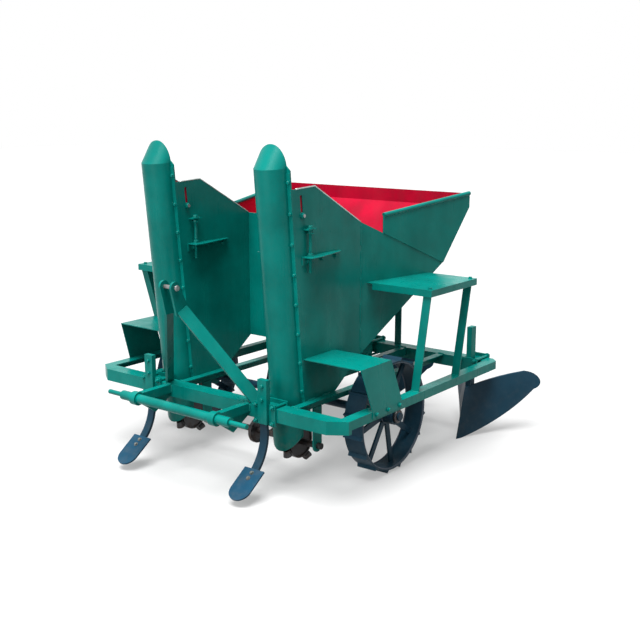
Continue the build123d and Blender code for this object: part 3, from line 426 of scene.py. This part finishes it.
def paint_film_group():
    """Brushed paint: cloudy tone, upright run marks, dry soil near the ground and a fine orange peel."""
    tree, start, end = node_group("paint_film", [
        ("Color", "NodeSocketColor", (0.5, 0.5, 0.5, 1)), ("Gloss", "NodeSocketFloat", 0.3),
        ("Dust", "NodeSocketFloat", 0.5), ("Dust Color", "NodeSocketColor", (0.2, 0.17, 0.13, 1))], SURFACE)
    place = object_place(tree)
    cloud = remap(tree, noise(tree, place, scale=4.5, detail=5), 0.3, 0.7)
    runs = remap(tree, noise(tree, stretched(tree, place, (14, 14, 1.6)), scale=1.0, detail=4), 0.35, 0.7)
    tone = blend(tree, cloud, (0.80, 0.80, 0.80), (1.14, 1.14, 1.14))
    coloured = blend(tree, 1.0, start.outputs["Color"], tone, "MULTIPLY")
    streaked = blend(tree, times(tree, runs, 0.10), coloured, (0.0, 0.03, 0.03))
    low = remap(tree, height_above(tree, place), 0.02, 0.42, 1.0, 0.06)
    soil = remap(tree, noise(tree, place, scale=22.0, detail=6, rough=0.7), 0.42, 0.72)
    dusty = times(tree, times(tree, low, soil), start.outputs["Dust"])
    soiled = blend(tree, dusty, streaked, start.outputs["Dust Color"])
    rough = plus(tree, plus(tree, start.outputs["Gloss"], times(tree, runs, 0.14)), times(tree, dusty, 0.45))
    peel = plus(tree, times(tree, noise(tree, place, scale=160.0, detail=2), 0.25),
                times(tree, noise(tree, place, scale=9.0, detail=3), 0.75))
    link(tree, (soiled, end.inputs["Color"]), (rough, end.inputs["Roughness"]), (peel, end.inputs["Height"]))


def chips_group():
    """Chipped paint: small flakes where a fine noise is high, gathered where a broad noise is high too."""
    tree, start, end = node_group("paint_chips", [("Amount", "NodeSocketFloat", 0.3)],
                                  [("Mask", "NodeSocketFloat")])
    place = object_place(tree)
    flakes = noise(tree, place, scale=58.0, detail=4, rough=0.65)
    patches = noise(tree, place, scale=5.5, detail=3)
    level = plus(tree, times(tree, flakes, 0.7), times(tree, patches, 0.5))
    limit = calc(tree, "SUBTRACT", 0.90, times(tree, start.outputs["Amount"], 0.35))
    link(tree, (remap(tree, calc(tree, "SUBTRACT", level, limit), 0.0, 0.03), end.inputs["Mask"]))


def metal_grain_group():
    """Bare metal: fine turned or rolled lines with a slow stain, as a colour, a roughness and a height."""
    tree, start, end = node_group("metal_grain", [
        ("Color", "NodeSocketColor", (0.4, 0.4, 0.4, 1)), ("Stain", "NodeSocketColor", (0.12, 0.06, 0.03, 1)),
        ("Rust", "NodeSocketFloat", 0.4)], SURFACE)
    place = object_place(tree)
    lines = noise(tree, stretched(tree, place, (320, 14, 14)), scale=1.0, detail=2)
    spots = remap(tree, noise(tree, place, scale=16.0, detail=6, rough=0.65), 0.45, 0.7)
    stain = times(tree, spots, start.outputs["Rust"])
    colour = blend(tree, stain, start.outputs["Color"], start.outputs["Stain"])
    rough = plus(tree, times(tree, lines, 0.25), plus(tree, 0.25, times(tree, stain, 0.4)))
    link(tree, (colour, end.inputs["Color"]), (rough, end.inputs["Roughness"]), (lines, end.inputs["Height"]))


def new_material(name):
    """Node material, its tree and its shader."""
    material = bpy.data.materials.new(name)
    material.use_nodes = True
    return material, material.node_tree, material.node_tree.nodes["Principled BSDF"]


def use_group(tree, name, values):
    """A shared group in a material's tree, with its inputs set."""
    node = tree.nodes.new("ShaderNodeGroup")
    node.node_tree = bpy.data.node_groups[name]
    for label, value in values.items():
        node.inputs[label].default_value = value
    return node


def cover(tree, shader, colour, rough, height, strength, distance):
    """Feed a colour, a roughness and a raised height to a shader."""
    relief = tree.nodes.new("ShaderNodeBump")
    relief.inputs["Strength"].default_value = strength
    relief.inputs["Distance"].default_value = distance
    link(tree, (colour, shader.inputs["Base Color"]), (rough, shader.inputs["Roughness"]),
         (height, relief.inputs["Height"]), (relief.outputs["Normal"], shader.inputs["Normal"]))


def painted(name, colour, chip, dust, amount, gloss, bump=0.06, upper=None, line=0.0):
    """Paint film that chips to a darker colour, with another paint above a line where one is given."""
    settings = bpy.context.scene.planter_paint
    material, tree, shader = new_material(name)
    film = use_group(tree, "paint_film", {"Color": (*colour, 1), "Dust Color": (*settings.dust, 1),
                                          "Dust": dust, "Gloss": gloss})
    if upper is not None:
        above = remap(tree, height_above(tree, object_place(tree)), line - 0.004, line + 0.004)
        link(tree, (blend(tree, above, tuple(colour), tuple(upper)), film.inputs["Color"]))
    mask = use_group(tree, "paint_chips", {"Amount": amount}).outputs["Mask"]
    surface = blend(tree, mask, film.outputs["Color"], chip)
    rough = plus(tree, film.outputs["Roughness"], times(tree, mask, 0.2))
    height = calc(tree, "SUBTRACT", film.outputs["Height"], times(tree, mask, 0.5))
    cover(tree, shader, surface, rough, height, strength=bump, distance=0.004)
    shader.inputs["Specular IOR Level"].default_value = 0.12
    shader.inputs["Coat Weight"].default_value = 0.02
    shader.inputs["Coat Roughness"].default_value = 0.18
    return material


def bare(name, colour, stain, rust):
    """Bare metal with grain and stain."""
    material, tree, shader = new_material(name)
    grain = use_group(tree, "metal_grain", {"Color": (*colour, 1), "Stain": (*stain, 1), "Rust": rust})
    colour, rough, height = (grain.outputs[label] for label, _ in SURFACE)
    cover(tree, shader, colour, rough, height, strength=0.12, distance=0.002)
    shader.inputs["Metallic"].default_value = 0.85
    return material


class PLANTER_OT_finishes(bpy.types.Operator):
    """Make the paints and metals and put them on the frame's own nodes"""

    bl_idname = "planter.finishes"
    bl_label = "Paint the planter"

    def execute(self, context):
        colours = context.scene.planter_paint
        paint_film_group()
        chips_group()
        metal_grain_group()
        wear = colours.wear
        green = painted("green_paint", colours.green, chip=(0.01, 0.045, 0.04), dust=0.3, amount=wear * 0.7,
                        gloss=0.26)
        soil_tool = {"chip": (0.05, 0.055, 0.06), "dust": 0.08, "amount": wear * 0.4, "gloss": 0.36,
                     "bump": 0.1}
        navy = painted("navy_paint", colours.navy, **soil_tool)
        shank = painted("shank_paint", colours.navy, **soil_tool, upper=colours.green, line=0.335)
        blade = painted("blade_paint", colours.blade, chip=(0.10, 0.12, 0.14), dust=0.12, amount=wear * 0.6,
                        gloss=0.34, bump=0.08)
        red = painted("red_lining", colours.red, chip=(0.25, 0.01, 0.02), dust=0.2, amount=wear * 0.5,
                      gloss=0.3)
        dark = bare("chain_iron", (0.05, 0.05, 0.052), stain=(0.05, 0.028, 0.018), rust=0.8)
        steel = bare("turned_steel", (0.30, 0.30, 0.30), stain=(0.10, 0.05, 0.03), rust=0.6)
        bare("zinc_fixing", (0.20, 0.21, 0.20), stain=(0.03, 0.08, 0.07), rust=0.9)
        # Pale bare metal for the feed box edge beads; its paleness is partly a painted highlight along those
        # edges.
        bare("rubbed_edge", (0.45, 0.50, 0.49), stain=(0.10, 0.25, 0.22), rust=0.5)
        for names, material in ((PAINTED, green), (NAVY, navy), (("shovels",), blade), (CHAIN, dark),
                                (STEEL, steel), (("hopper_saddle",), red), (("ridger_shanks",), shank)):
            for name in names:
                slots = NODES[name].data.materials
                slots.clear()
                slots.append(material)
        return {"FINISHED"}


# Pieces


class PLANTER_OT_lining(bpy.types.Operator):
    """Red sheets just inside the hopper's walls and the feed box sides"""

    bl_idname = "planter.lining"
    bl_label = "Line the hopper"

    def execute(self, context):
        red = bpy.data.materials["red_lining"]
        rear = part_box("hopper_rear")[1].y - SHEET
        floor = [FEED_BACK, HOPPER_FLOOR_Z + SHEET]
        knee = [FRONT + HOPPER_KNEE[0] - 0.6 * SHEET, HOPPER_KNEE[1] + SHEET]
        band, rim = [rear, HOPPER_BAND_Z + 0.5 * SHEET], [rear, HOPPER_RIM_Z]
        parts = []
        for (y0, z0), (y1, z1) in ((floor, knee), (knee, band), (band, rim)):
            lift = np.cross([1, 0, 0], [0, y1 - y0, z1 - z0])
            lift = lift / np.linalg.norm(lift)
            x0, x1 = flare(y0), flare(y1)
            corners = np.array([[-x0, y0, z0], [x0, y0, z0], [x1, y1, z1], [-x1, y1, z1]])
            parts.append(slab(corners + lift * LINING_GAP, lift * LINING))
        piece("hopper_lining_rear", *join(parts), red, "chassis", "red_paint")

        wing_y = FRONT + WING_FRONT[0]
        crease = np.interp(wing_y, [FEED_BACK, FRONT + HOPPER_KNEE[0]], [FEED_BACK_Z, HOPPER_KNEE[1]])
        side = np.array([floor, [FEED_BACK, FEED_BACK_Z], [wing_y, crease], [wing_y, WING_FRONT[1]],
                         rim, band, knee])
        inward = np.array([-1, HOPPER_FLARE, 0]) / np.hypot(1, HOPPER_FLARE)
        left = slab(np.column_stack([flare(side[:, 0]), side]), inward * LINING, WING_CUT)
        piece("hopper_lining_left", *left, red, "chassis", "red_paint")
        piece("hopper_lining_right", *mirrored(left), red, "chassis", "red_paint")

        y = FEED_BACK + LINING_GAP
        front = [[-FEED_IN, y, FEED_BACK_Z], [FEED_IN, y, FEED_BACK_Z],
                 [FEED_IN, y, HOPPER_FRONT_LOW], [-FEED_IN, y, HOPPER_FRONT_LOW]]
        piece("hopper_lining_front", *slab(front, [0, LINING, 0]), red, "chassis", "red_paint")

        side = np.array(FEED_SIDE) + [FRONT, 0]
        outer = row(FEED_OUT - SHEET - LINING_GAP, side[:, 0], side[:, 1])
        inner = row(FEED_IN + SHEET + LINING_GAP, side[:, 0], side[:, 1])
        left = join([slab(outer, [-LINING, 0, 0]), slab(inner[::-1], [LINING, 0, 0])])
        piece("feed_lining_left", *left, red, "chassis", "red_paint")
        piece("feed_lining_right", *mirrored(left), red, "chassis", "red_paint")
        return {"FINISHED"}


class PLANTER_OT_bolts(bpy.types.Operator):
    """Flange bolts down the towers, guard, platform, shovel and bearing bolts, and the clamp nuts"""

    bl_idname = "planter.bolts"
    bl_label = "Fit the bolts"

    def execute(self, context):
        sizes = context.scene.planter_fixings
        zinc = bpy.data.materials["zinc_fixing"]
        green = bpy.data.materials["green_paint"]
        head = hex_head(sizes.head)
        left, right = [1, 0, 0], [-1, 0, 0]
        flange_x, flange_y, rise = 0.090, -0.004, np.linspace(0.05, 0.99, 8)
        places = across(np.concatenate([on_tower(side * flange_x, flange_y, rise) for side in (-1, 1)]))
        forward = [0, -np.cos(LEAN), -np.sin(LEAN)]
        piece("tower_flange_bolts", *scatter(head, places, forward), green, "chassis", "paint")

        apron = row(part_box("wheel_guard_left")[1].x, FRONT + np.array([0.255, 0.345, 0.435]), 0.384)
        shelf_y, shelf_z, shelf_thick = FRONT + np.array([0.185, 0.285, 0.385]), 1.040, 0.004
        shelf = row(FEED_OUT + shelf_thick, shelf_y, shelf_z)
        boss = row(FEED_OUT + 0.048, AXLE[1] + np.array([-0.046, 0.046]), 0.362)
        outward = np.concatenate([apron, shelf, boss])
        inward = row(FEED_IN - shelf_thick, shelf_y, shelf_z)
        places = np.concatenate([across(outward), across(inward)])
        axes = np.repeat([left, right, right, left], np.repeat([len(outward), len(inward)], 2), 0)
        piece("side_bolts", *scatter(hex_head(sizes.head * 1.15), places, axes), green, "chassis", "paint")

        deck = row(0.793, FRONT + np.array([0.658, 1.026]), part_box("platform_left")[1].z)
        deck = np.concatenate([deck, deck * [-1, 1, 1] - [0, RIGHT_PLATFORM_FORWARD, 0]])
        piece("platform_bolts", *scatter(head, deck, [0, 0, 1]), green, "chassis", "paint")

        down = np.array([0, -0.140, -0.098]) / np.hypot(0.140, 0.098)
        face = np.array([0, down[2], -down[1]])
        root = np.array([TINE_X, FRONT - 0.076, 0.128]) + face * 0.008
        blades = across([root + down * 0.022, root + down * 0.052])
        piece("shovel_bolts", *scatter(hex_head(sizes.head * 0.9), blades, face), zinc, "chassis", "steel")

        high, low = FRAME_TOP + 0.0073, BEAM_LOW - 0.0073
        groups = (((TINE_X, -TINE_X), 0.048), ((RIDGER_X, 0, -RIDGER_X), 0.039))
        tines, ridges = (np.array([[x + way * spread, 0, z] for x in posts for way in (-1, 1)
                                   for z in (high, low)]) for posts, spread in groups)
        plate = 0.009
        near = np.concatenate([tines + [0, FRONT - plate, 0], ridges + [0, REAR_FACE - 0.054, 0]])
        far = ridges + [0, REAR_END + plate, 0]
        axes = np.repeat([[0, -1, 0], [0, 1, 0]], [len(near), len(far)], 0)
        nuts = scatter(stud_nut(sizes.nut), np.concatenate([near, far]), axes)
        piece("clamp_nuts", *nuts, green, "chassis", "paint")

        y, z = on_tower(0, *UPPER_SHAFT)[1:]
        ends = across([[FEED_OUT, y, z], [FEED_IN, y, z]])
        nuts = scatter(hex_head(SCREW_NUT), ends, [left, right, right, left])
        piece("upper_shaft_nuts", *nuts, green, "chassis", "paint")

        socket_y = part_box("tine_clamps")[0].y
        heads = across([[TINE_X, socket_y, z] for z in (0.500, 0.440)])
        piece("socket_bolts", *scatter(head, heads, [0, -1, 0]), green, "chassis", "paint")
        return {"FINISHED"}


class PLANTER_OT_welds(bpy.types.Operator):
    """Rippled weld beads where the frame, hitch, legs, posts and hopper sheets join"""

    bl_idname = "planter.welds"
    bl_label = "Lay the welds"

    def execute(self, context):
        sizes = context.scene.planter_fixings
        top = FRAME_TOP
        arms, arm_half, arm_deep = 0.250, 0.017, 0.037
        post_x, post_y = (0.155, 0.195), (REAR_FACE + 0.025, REAR_FACE + 0.027, REAR_FACE + 0.065)
        bearing, bearing_half = RAIL_EDGES[0][1], 0.068
        lines = [((x0, y, top), (x1, y, top)) for x0, x1 in RAIL_EDGES for y in (BEAM_BACK, REAR_FACE)]
        lines += [((x, FRONT, top - arm_deep), (x, FRONT, top - 0.003))
                  for x in (arms - arm_half, arms + arm_half)]
        lines += [((arms - 0.015, FRONT, top), (arms + 0.015, FRONT, top))]
        lines += [((post_x[0], post_y[0], top), (post_x[1], post_y[0], top)),
                  ((post_x[0], post_y[1], top), (post_x[0], post_y[2], top))]
        lines += [((bearing, AXLE[1] - bearing_half, top), (bearing, AXLE[1] + bearing_half, top))]
        lines += [((FEED_OUT, FRONT + y, top), (FEED_OUT, FRONT + y + 0.055, top)) for y in (0.19, 0.30)]
        lines += [((FEED_OUT, FEED_BACK, z), (FEED_OUT, FEED_BACK, z + 0.1))
                  for z in np.arange(0.56, 1.1, 0.125)]
        ends = np.array(lines, float)
        leg_x = (0.737, 0.777)
        feet = [((way * leg_x[0], FRONT + y, top), (way * leg_x[1], FRONT + y, top))
                for way, y in ((1, 0.606), (1, 0.972), (-1, 0.458), (-1, 0.744))]
        both = np.concatenate([ends, ends * [-1, 1, 1], np.array(feet)])
        upright = np.abs(both[:, 0, 2] - both[:, 1, 2]) > 0.08
        radii = sizes.bead * np.where(upright, 0.62, 1.0)
        parts = [bead(a, b, radius, sizes.ripple) for (a, b), radius in zip(both, radii)]
        piece("frame_welds", *join(parts), bpy.data.materials["green_paint"], "chassis", "paint", True)
        return {"FINISHED"}


class PLANTER_OT_wheel_rolls(bpy.types.Operator):
    """Rolled beads round both edges of each wheel rim and the weld rings at the hubs"""

    bl_idname = "planter.wheel_rolls"
    bl_label = "Roll the wheel rims"

    def execute(self, context):
        rim = {"major": 0.2545, "minor": 0.0042, "sides": 96}
        hub = {"major": 0.0425, "minor": 0.0035, "sides": 48}
        stations = ((0.5695, rim), (0.6665, rim), (0.612, hub), (0.624, hub))
        rolls = join([ring((sign * x, *AXLE[1:]), (1, 0, 0), **size)
                      for sign in (1, -1) for x, size in stations])
        piece("wheel_rim_rolls", *rolls, bpy.data.materials["navy_paint"], "ground_axle", "navy_paint", True)
        collar = lathe([0.030, 0.032, 0.032, 0.030], [0, 0.0015, 0.0125, 0.014], 32)
        collars = scatter(collar, across([[0.6795, *AXLE[1:]]]), [[1, 0, 0], [-1, 0, 0]])
        piece("axle_collars", *collars, bpy.data.materials["chain_iron"], "ground_axle", "steel", True)
        return {"FINISHED"}


class PLANTER_OT_threads(bpy.types.Operator):
    """Screw threads on the adjusters with a nut under each nut plate, and rings on the top-link pin"""

    bl_idname = "planter.threads"
    bl_label = "Cut the adjuster threads"

    def execute(self, context):
        sizes = context.scene.planter_fixings
        steel = bpy.data.materials["turned_steel"]
        green = bpy.data.materials["green_paint"]
        y, low, high = FRONT + 0.192, 0.988, 1.175
        core, depth, sides, count = 0.0071, 0.0014, 12, 430
        z, a = np.linspace(low, high, count), turns(sides)
        wave = 0.5 - 0.5 * np.cos(2 * np.pi * (z[:, None] / sizes.pitch) - a[None])
        radius = core + depth * wave
        rings = np.stack([radius * np.cos(a), y + radius * np.sin(a), np.repeat(z[:, None], sides, 1)], -1)
        verts, faces = skin(rings, [[0, y, low], [0, y, high]])
        stand = 0.015
        stands = np.array([FEED_OUT + stand, FEED_IN - stand, -FEED_OUT - stand, stand - FEED_IN])
        screws = join([(verts + [x, 0, 0], faces) for x in stands])
        piece("adjuster_threads", *screws, green, "chassis", "paint", True)
        nuts = [[x, y, height] for x in stands for height in (1.061, 1.160, 1.182)]
        piece("adjuster_nuts", *scatter(hex_head(SCREW_NUT), nuts, [0, 0, 1]), green, "chassis", "paint")

        low_pin, high_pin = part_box("top_link_pin")
        middle, inset = (low_pin + high_pin) / 2, 0.007
        rings = [ring((way * (high_pin.x - inset), middle.y, middle.z), (1, 0, 0), 0.0105, 0.0030, 32)
                 for way in (1, -1)]
        piece("top_pin_rings", *join(rings), steel, "chassis", "steel", True)
        return {"FINISHED"}


class PLANTER_OT_drive_links(bpy.types.Operator):
    """Oval link plates on both sides of the drive chain"""

    bl_idname = "planter.drive_links"
    bl_label = "Link the drive chain"

    def execute(self, context):
        count = context.scene.planter_fixings.links
        small, large = LOWER_SHAFT, AXLE[1:]
        r_small, r_large, steps = 0.0543, 0.082, 200
        gap = np.linalg.norm(large - small)
        heading = np.arctan2(*(large - small)[::-1])
        tilt = np.arccos((r_small - r_large) / gap)
        arcs = []
        for centre, radius, start, end in ((large, r_large, heading - tilt, heading + tilt),
                                           (small, r_small, heading + tilt, heading + 2 * np.pi - tilt)):
            turn = np.linspace(start, end, steps)
            arcs.append(centre + radius * np.stack([np.cos(turn), np.sin(turn)], -1))
        loop = np.concatenate([*arcs, arcs[0][:1]])
        along = np.concatenate([[0], np.cumsum(np.linalg.norm(np.diff(loop, axis=0), axis=1))])
        stops, step = np.arange(count) / count * along[-1], 0.002
        at, ahead = (np.stack([np.interp(s % along[-1], along, loop[:, k]) for k in (0, 1)], -1)
                     for s in (stops, stops + step))
        way = ahead - at
        way /= np.linalg.norm(way, axis=1, keepdims=True)
        reach, radius = 0.8 * along[-1] / count / 2, 0.0062
        a = np.linspace(-np.pi / 2, np.pi / 2, 6)
        end = np.stack([reach + radius * np.cos(a), radius * np.sin(a)], -1)
        oval = np.concatenate([end, -end])
        y = at[:, None, 0] + oval[None, :, 0] * way[:, None, 0] - oval[None, :, 1] * way[:, None, 1]
        z = at[:, None, 1] + oval[None, :, 0] * way[:, None, 1] + oval[None, :, 1] * way[:, None, 0]
        parts = []
        for x, thick, order in ((0.0963, 0.002, 1), (0.0837, -0.002, -1)):
            corners = np.stack([np.full_like(y, x), y, z], -1)[:, ::order]
            parts += [slab(outline, (thick, 0, 0)) for outline in corners]
        piece("drive_chain_links", *join(parts), bpy.data.materials["chain_iron"], "chassis", "dark_chain")
        return {"FINISHED"}


class PLANTER_OT_edges(bpy.types.Operator):
    """Pale bare-metal beads along the tops of the feed box sides, partly bare edges and partly painted
    highlight lines
    """

    bl_idname = "planter.edges"
    bl_label = "Rub the feed box edges"

    def execute(self, context):
        front, peak, back = np.array(FEED_EDGE) + [FRONT, 0]
        run = np.concatenate([np.linspace(front, peak, 8)[:-1], np.linspace(peak, back, 16)])
        # These pale beads are partly a painted highlight along each feed box top edge.
        inset, radii = 0.098, np.full(len(run), 0.0034)
        parts = [tube(row(x, run[:, 0], run[:, 1]), radii)
                 for x in (ROW_X + inset, ROW_X - inset, inset - ROW_X, -ROW_X - inset)]
        piece("feed_box_edges", *join(parts), bpy.data.materials["rubbed_edge"], "chassis", "steel", True)
        return {"FINISHED"}


FLOOR_REACH = 30.0
FLOOR_SHADE = (0.15, 0.15, 0.15)
FLOOR_GLOW = 0.36
AMBIENT = 0.3
SUN_SPREAD = radians(40)
SUN_FROM, SUN_AIM = (0.2, -1.1, 4.5), (0, 0, 0)
PANEL_SIZE = 3.0
PANEL_FROM, PANEL_AIM = (0.2, -5.4, 2.2), (0, 0, 0.8)
CAMERA_FROM = (3.149, FRONT - 3.187, 1.714)
CAMERA_DOWN, CAMERA_TURN = 12.272, 37.909


def shown_rays(tree):
    """One where a ray comes from the camera or from a mirror-like or clear surface, and nothing elsewhere."""
    path = tree.nodes.new("ShaderNodeLightPath")
    clear = calc(tree, "MAXIMUM", path.outputs["Is Glossy Ray"], path.outputs["Is Transmission Ray"])
    return calc(tree, "MAXIMUM", path.outputs["Is Camera Ray"], clear)


class PLANTER_OT_stage(bpy.types.Operator):
    """Pale floor, soft lamps and the camera"""

    bl_idname = "planter.stage"
    bl_label = "Set the stage"

    def execute(self, context):
        scene = context.scene
        settings = scene.planter_stage
        mesh = bpy.data.meshes.new("floor")
        corners = [(x * FLOOR_REACH, y * FLOOR_REACH, 0) for x, y in ((-1, -1), (1, -1), (1, 1), (-1, 1))]
        mesh.from_pydata(corners, [], [(0, 1, 2, 3)])
        floor = bpy.data.objects.new("floor", mesh)
        scene.collection.objects.link(floor)
        material, tree, shader = new_material("pale_floor")
        shader.inputs["Roughness"].default_value = 0.9
        shader.inputs["Specular IOR Level"].default_value = 0.0
        glow = tree.nodes.new("ShaderNodeEmission")
        add = tree.nodes.new("ShaderNodeAddShader")
        shown = shown_rays(tree)
        link(tree, (blend(tree, shown, FLOOR_SHADE, tuple(settings.floor)), shader.inputs["Base Color"]),
             (times(tree, shown, FLOOR_GLOW), glow.inputs["Strength"]),
             (shader.outputs[0], add.inputs[0]), (glow.outputs[0], add.inputs[1]),
             (add.outputs[0], tree.nodes["Material Output"].inputs["Surface"]))
        mesh.materials.append(material)

        world = bpy.data.worlds.new("studio")
        scene.world = world
        world.use_nodes = True
        sky = world.node_tree
        back = sky.nodes["Background"]
        back.inputs["Color"].default_value = (1, 1, 1, 1)
        link(sky, (plus(sky, times(sky, shown_rays(sky), 1 - AMBIENT), AMBIENT), back.inputs["Strength"]))

        sun = bpy.data.lights.new("overhead", "SUN")
        sun.energy = settings.key
        sun.angle = SUN_SPREAD
        panel = bpy.data.lights.new("fill", "AREA")
        panel.energy = settings.fill
        panel.size = PANEL_SIZE
        for data, spot, aim in ((sun, SUN_FROM, SUN_AIM), (panel, PANEL_FROM, PANEL_AIM)):
            lamp = bpy.data.objects.new(data.name, data)
            scene.collection.objects.link(lamp)
            x, y, z = np.array(spot) - np.array(aim)
            lamp.location = spot
            lamp.rotation_euler = (np.arctan2(np.hypot(x, y), z), 0, np.arctan2(x, -y))

        data = bpy.data.cameras.new("camera")
        data.lens = settings.lens
        data.sensor_width = 36.0
        camera = bpy.data.objects.new("camera", data)
        scene.collection.objects.link(camera)
        camera.location = CAMERA_FROM
        camera.rotation_euler = (radians(90 - CAMERA_DOWN), 0, radians(CAMERA_TURN))
        scene.camera = camera
        scene.view_settings.view_transform = "Standard"
        return {"FINISHED"}


STEPS = (PLANTER_OT_finishes, PLANTER_OT_lining, PLANTER_OT_bolts, PLANTER_OT_welds, PLANTER_OT_wheel_rolls,
         PLANTER_OT_threads, PLANTER_OT_drive_links, PLANTER_OT_edges, PLANTER_OT_stage)


class PLANTER_PT_panel(bpy.types.Panel):
    """Sidebar panel with the settings and the building steps."""

    bl_idname = "PLANTER_PT_panel"
    bl_label = "Planter"
    bl_space_type = "VIEW_3D"
    bl_region_type = "UI"
    bl_category = "Planter"

    def draw(self, context):
        layout = self.layout
        for setting, group in GROUPS:
            column = layout.column(align=True)
            for name in group.__annotations__:
                column.prop(getattr(context.scene, setting), name)
        for step in STEPS:
            layout.operator(step.bl_idname)


GROUPS = (("planter_paint", PlanterPaint), ("planter_fixings", PlanterFixings),
          ("planter_stage", PlanterStage))


def register():
    """Register the settings, steps and panel."""
    for name, group in GROUPS:
        bpy.utils.register_class(group)
        setattr(bpy.types.Scene, name, PointerProperty(type=group))
    for cls in (*STEPS, PLANTER_PT_panel):
        bpy.utils.register_class(cls)


def unregister():
    """Remove the panel, steps and settings."""
    for cls in (PLANTER_PT_panel, *reversed(STEPS)):
        bpy.utils.unregister_class(cls)
    for name, group in reversed(GROUPS):
        delattr(bpy.types.Scene, name)
        bpy.utils.unregister_class(group)


def main():
    """Build the dressed planter."""
    register()
    bpy.ops.planter.finishes()
    bpy.ops.planter.lining()
    bpy.ops.planter.bolts()
    bpy.ops.planter.welds()
    bpy.ops.planter.wheel_rolls()
    bpy.ops.planter.threads()
    bpy.ops.planter.drive_links()
    bpy.ops.planter.edges()
    bpy.ops.planter.stage()


if __name__ == "__main__":
    main()
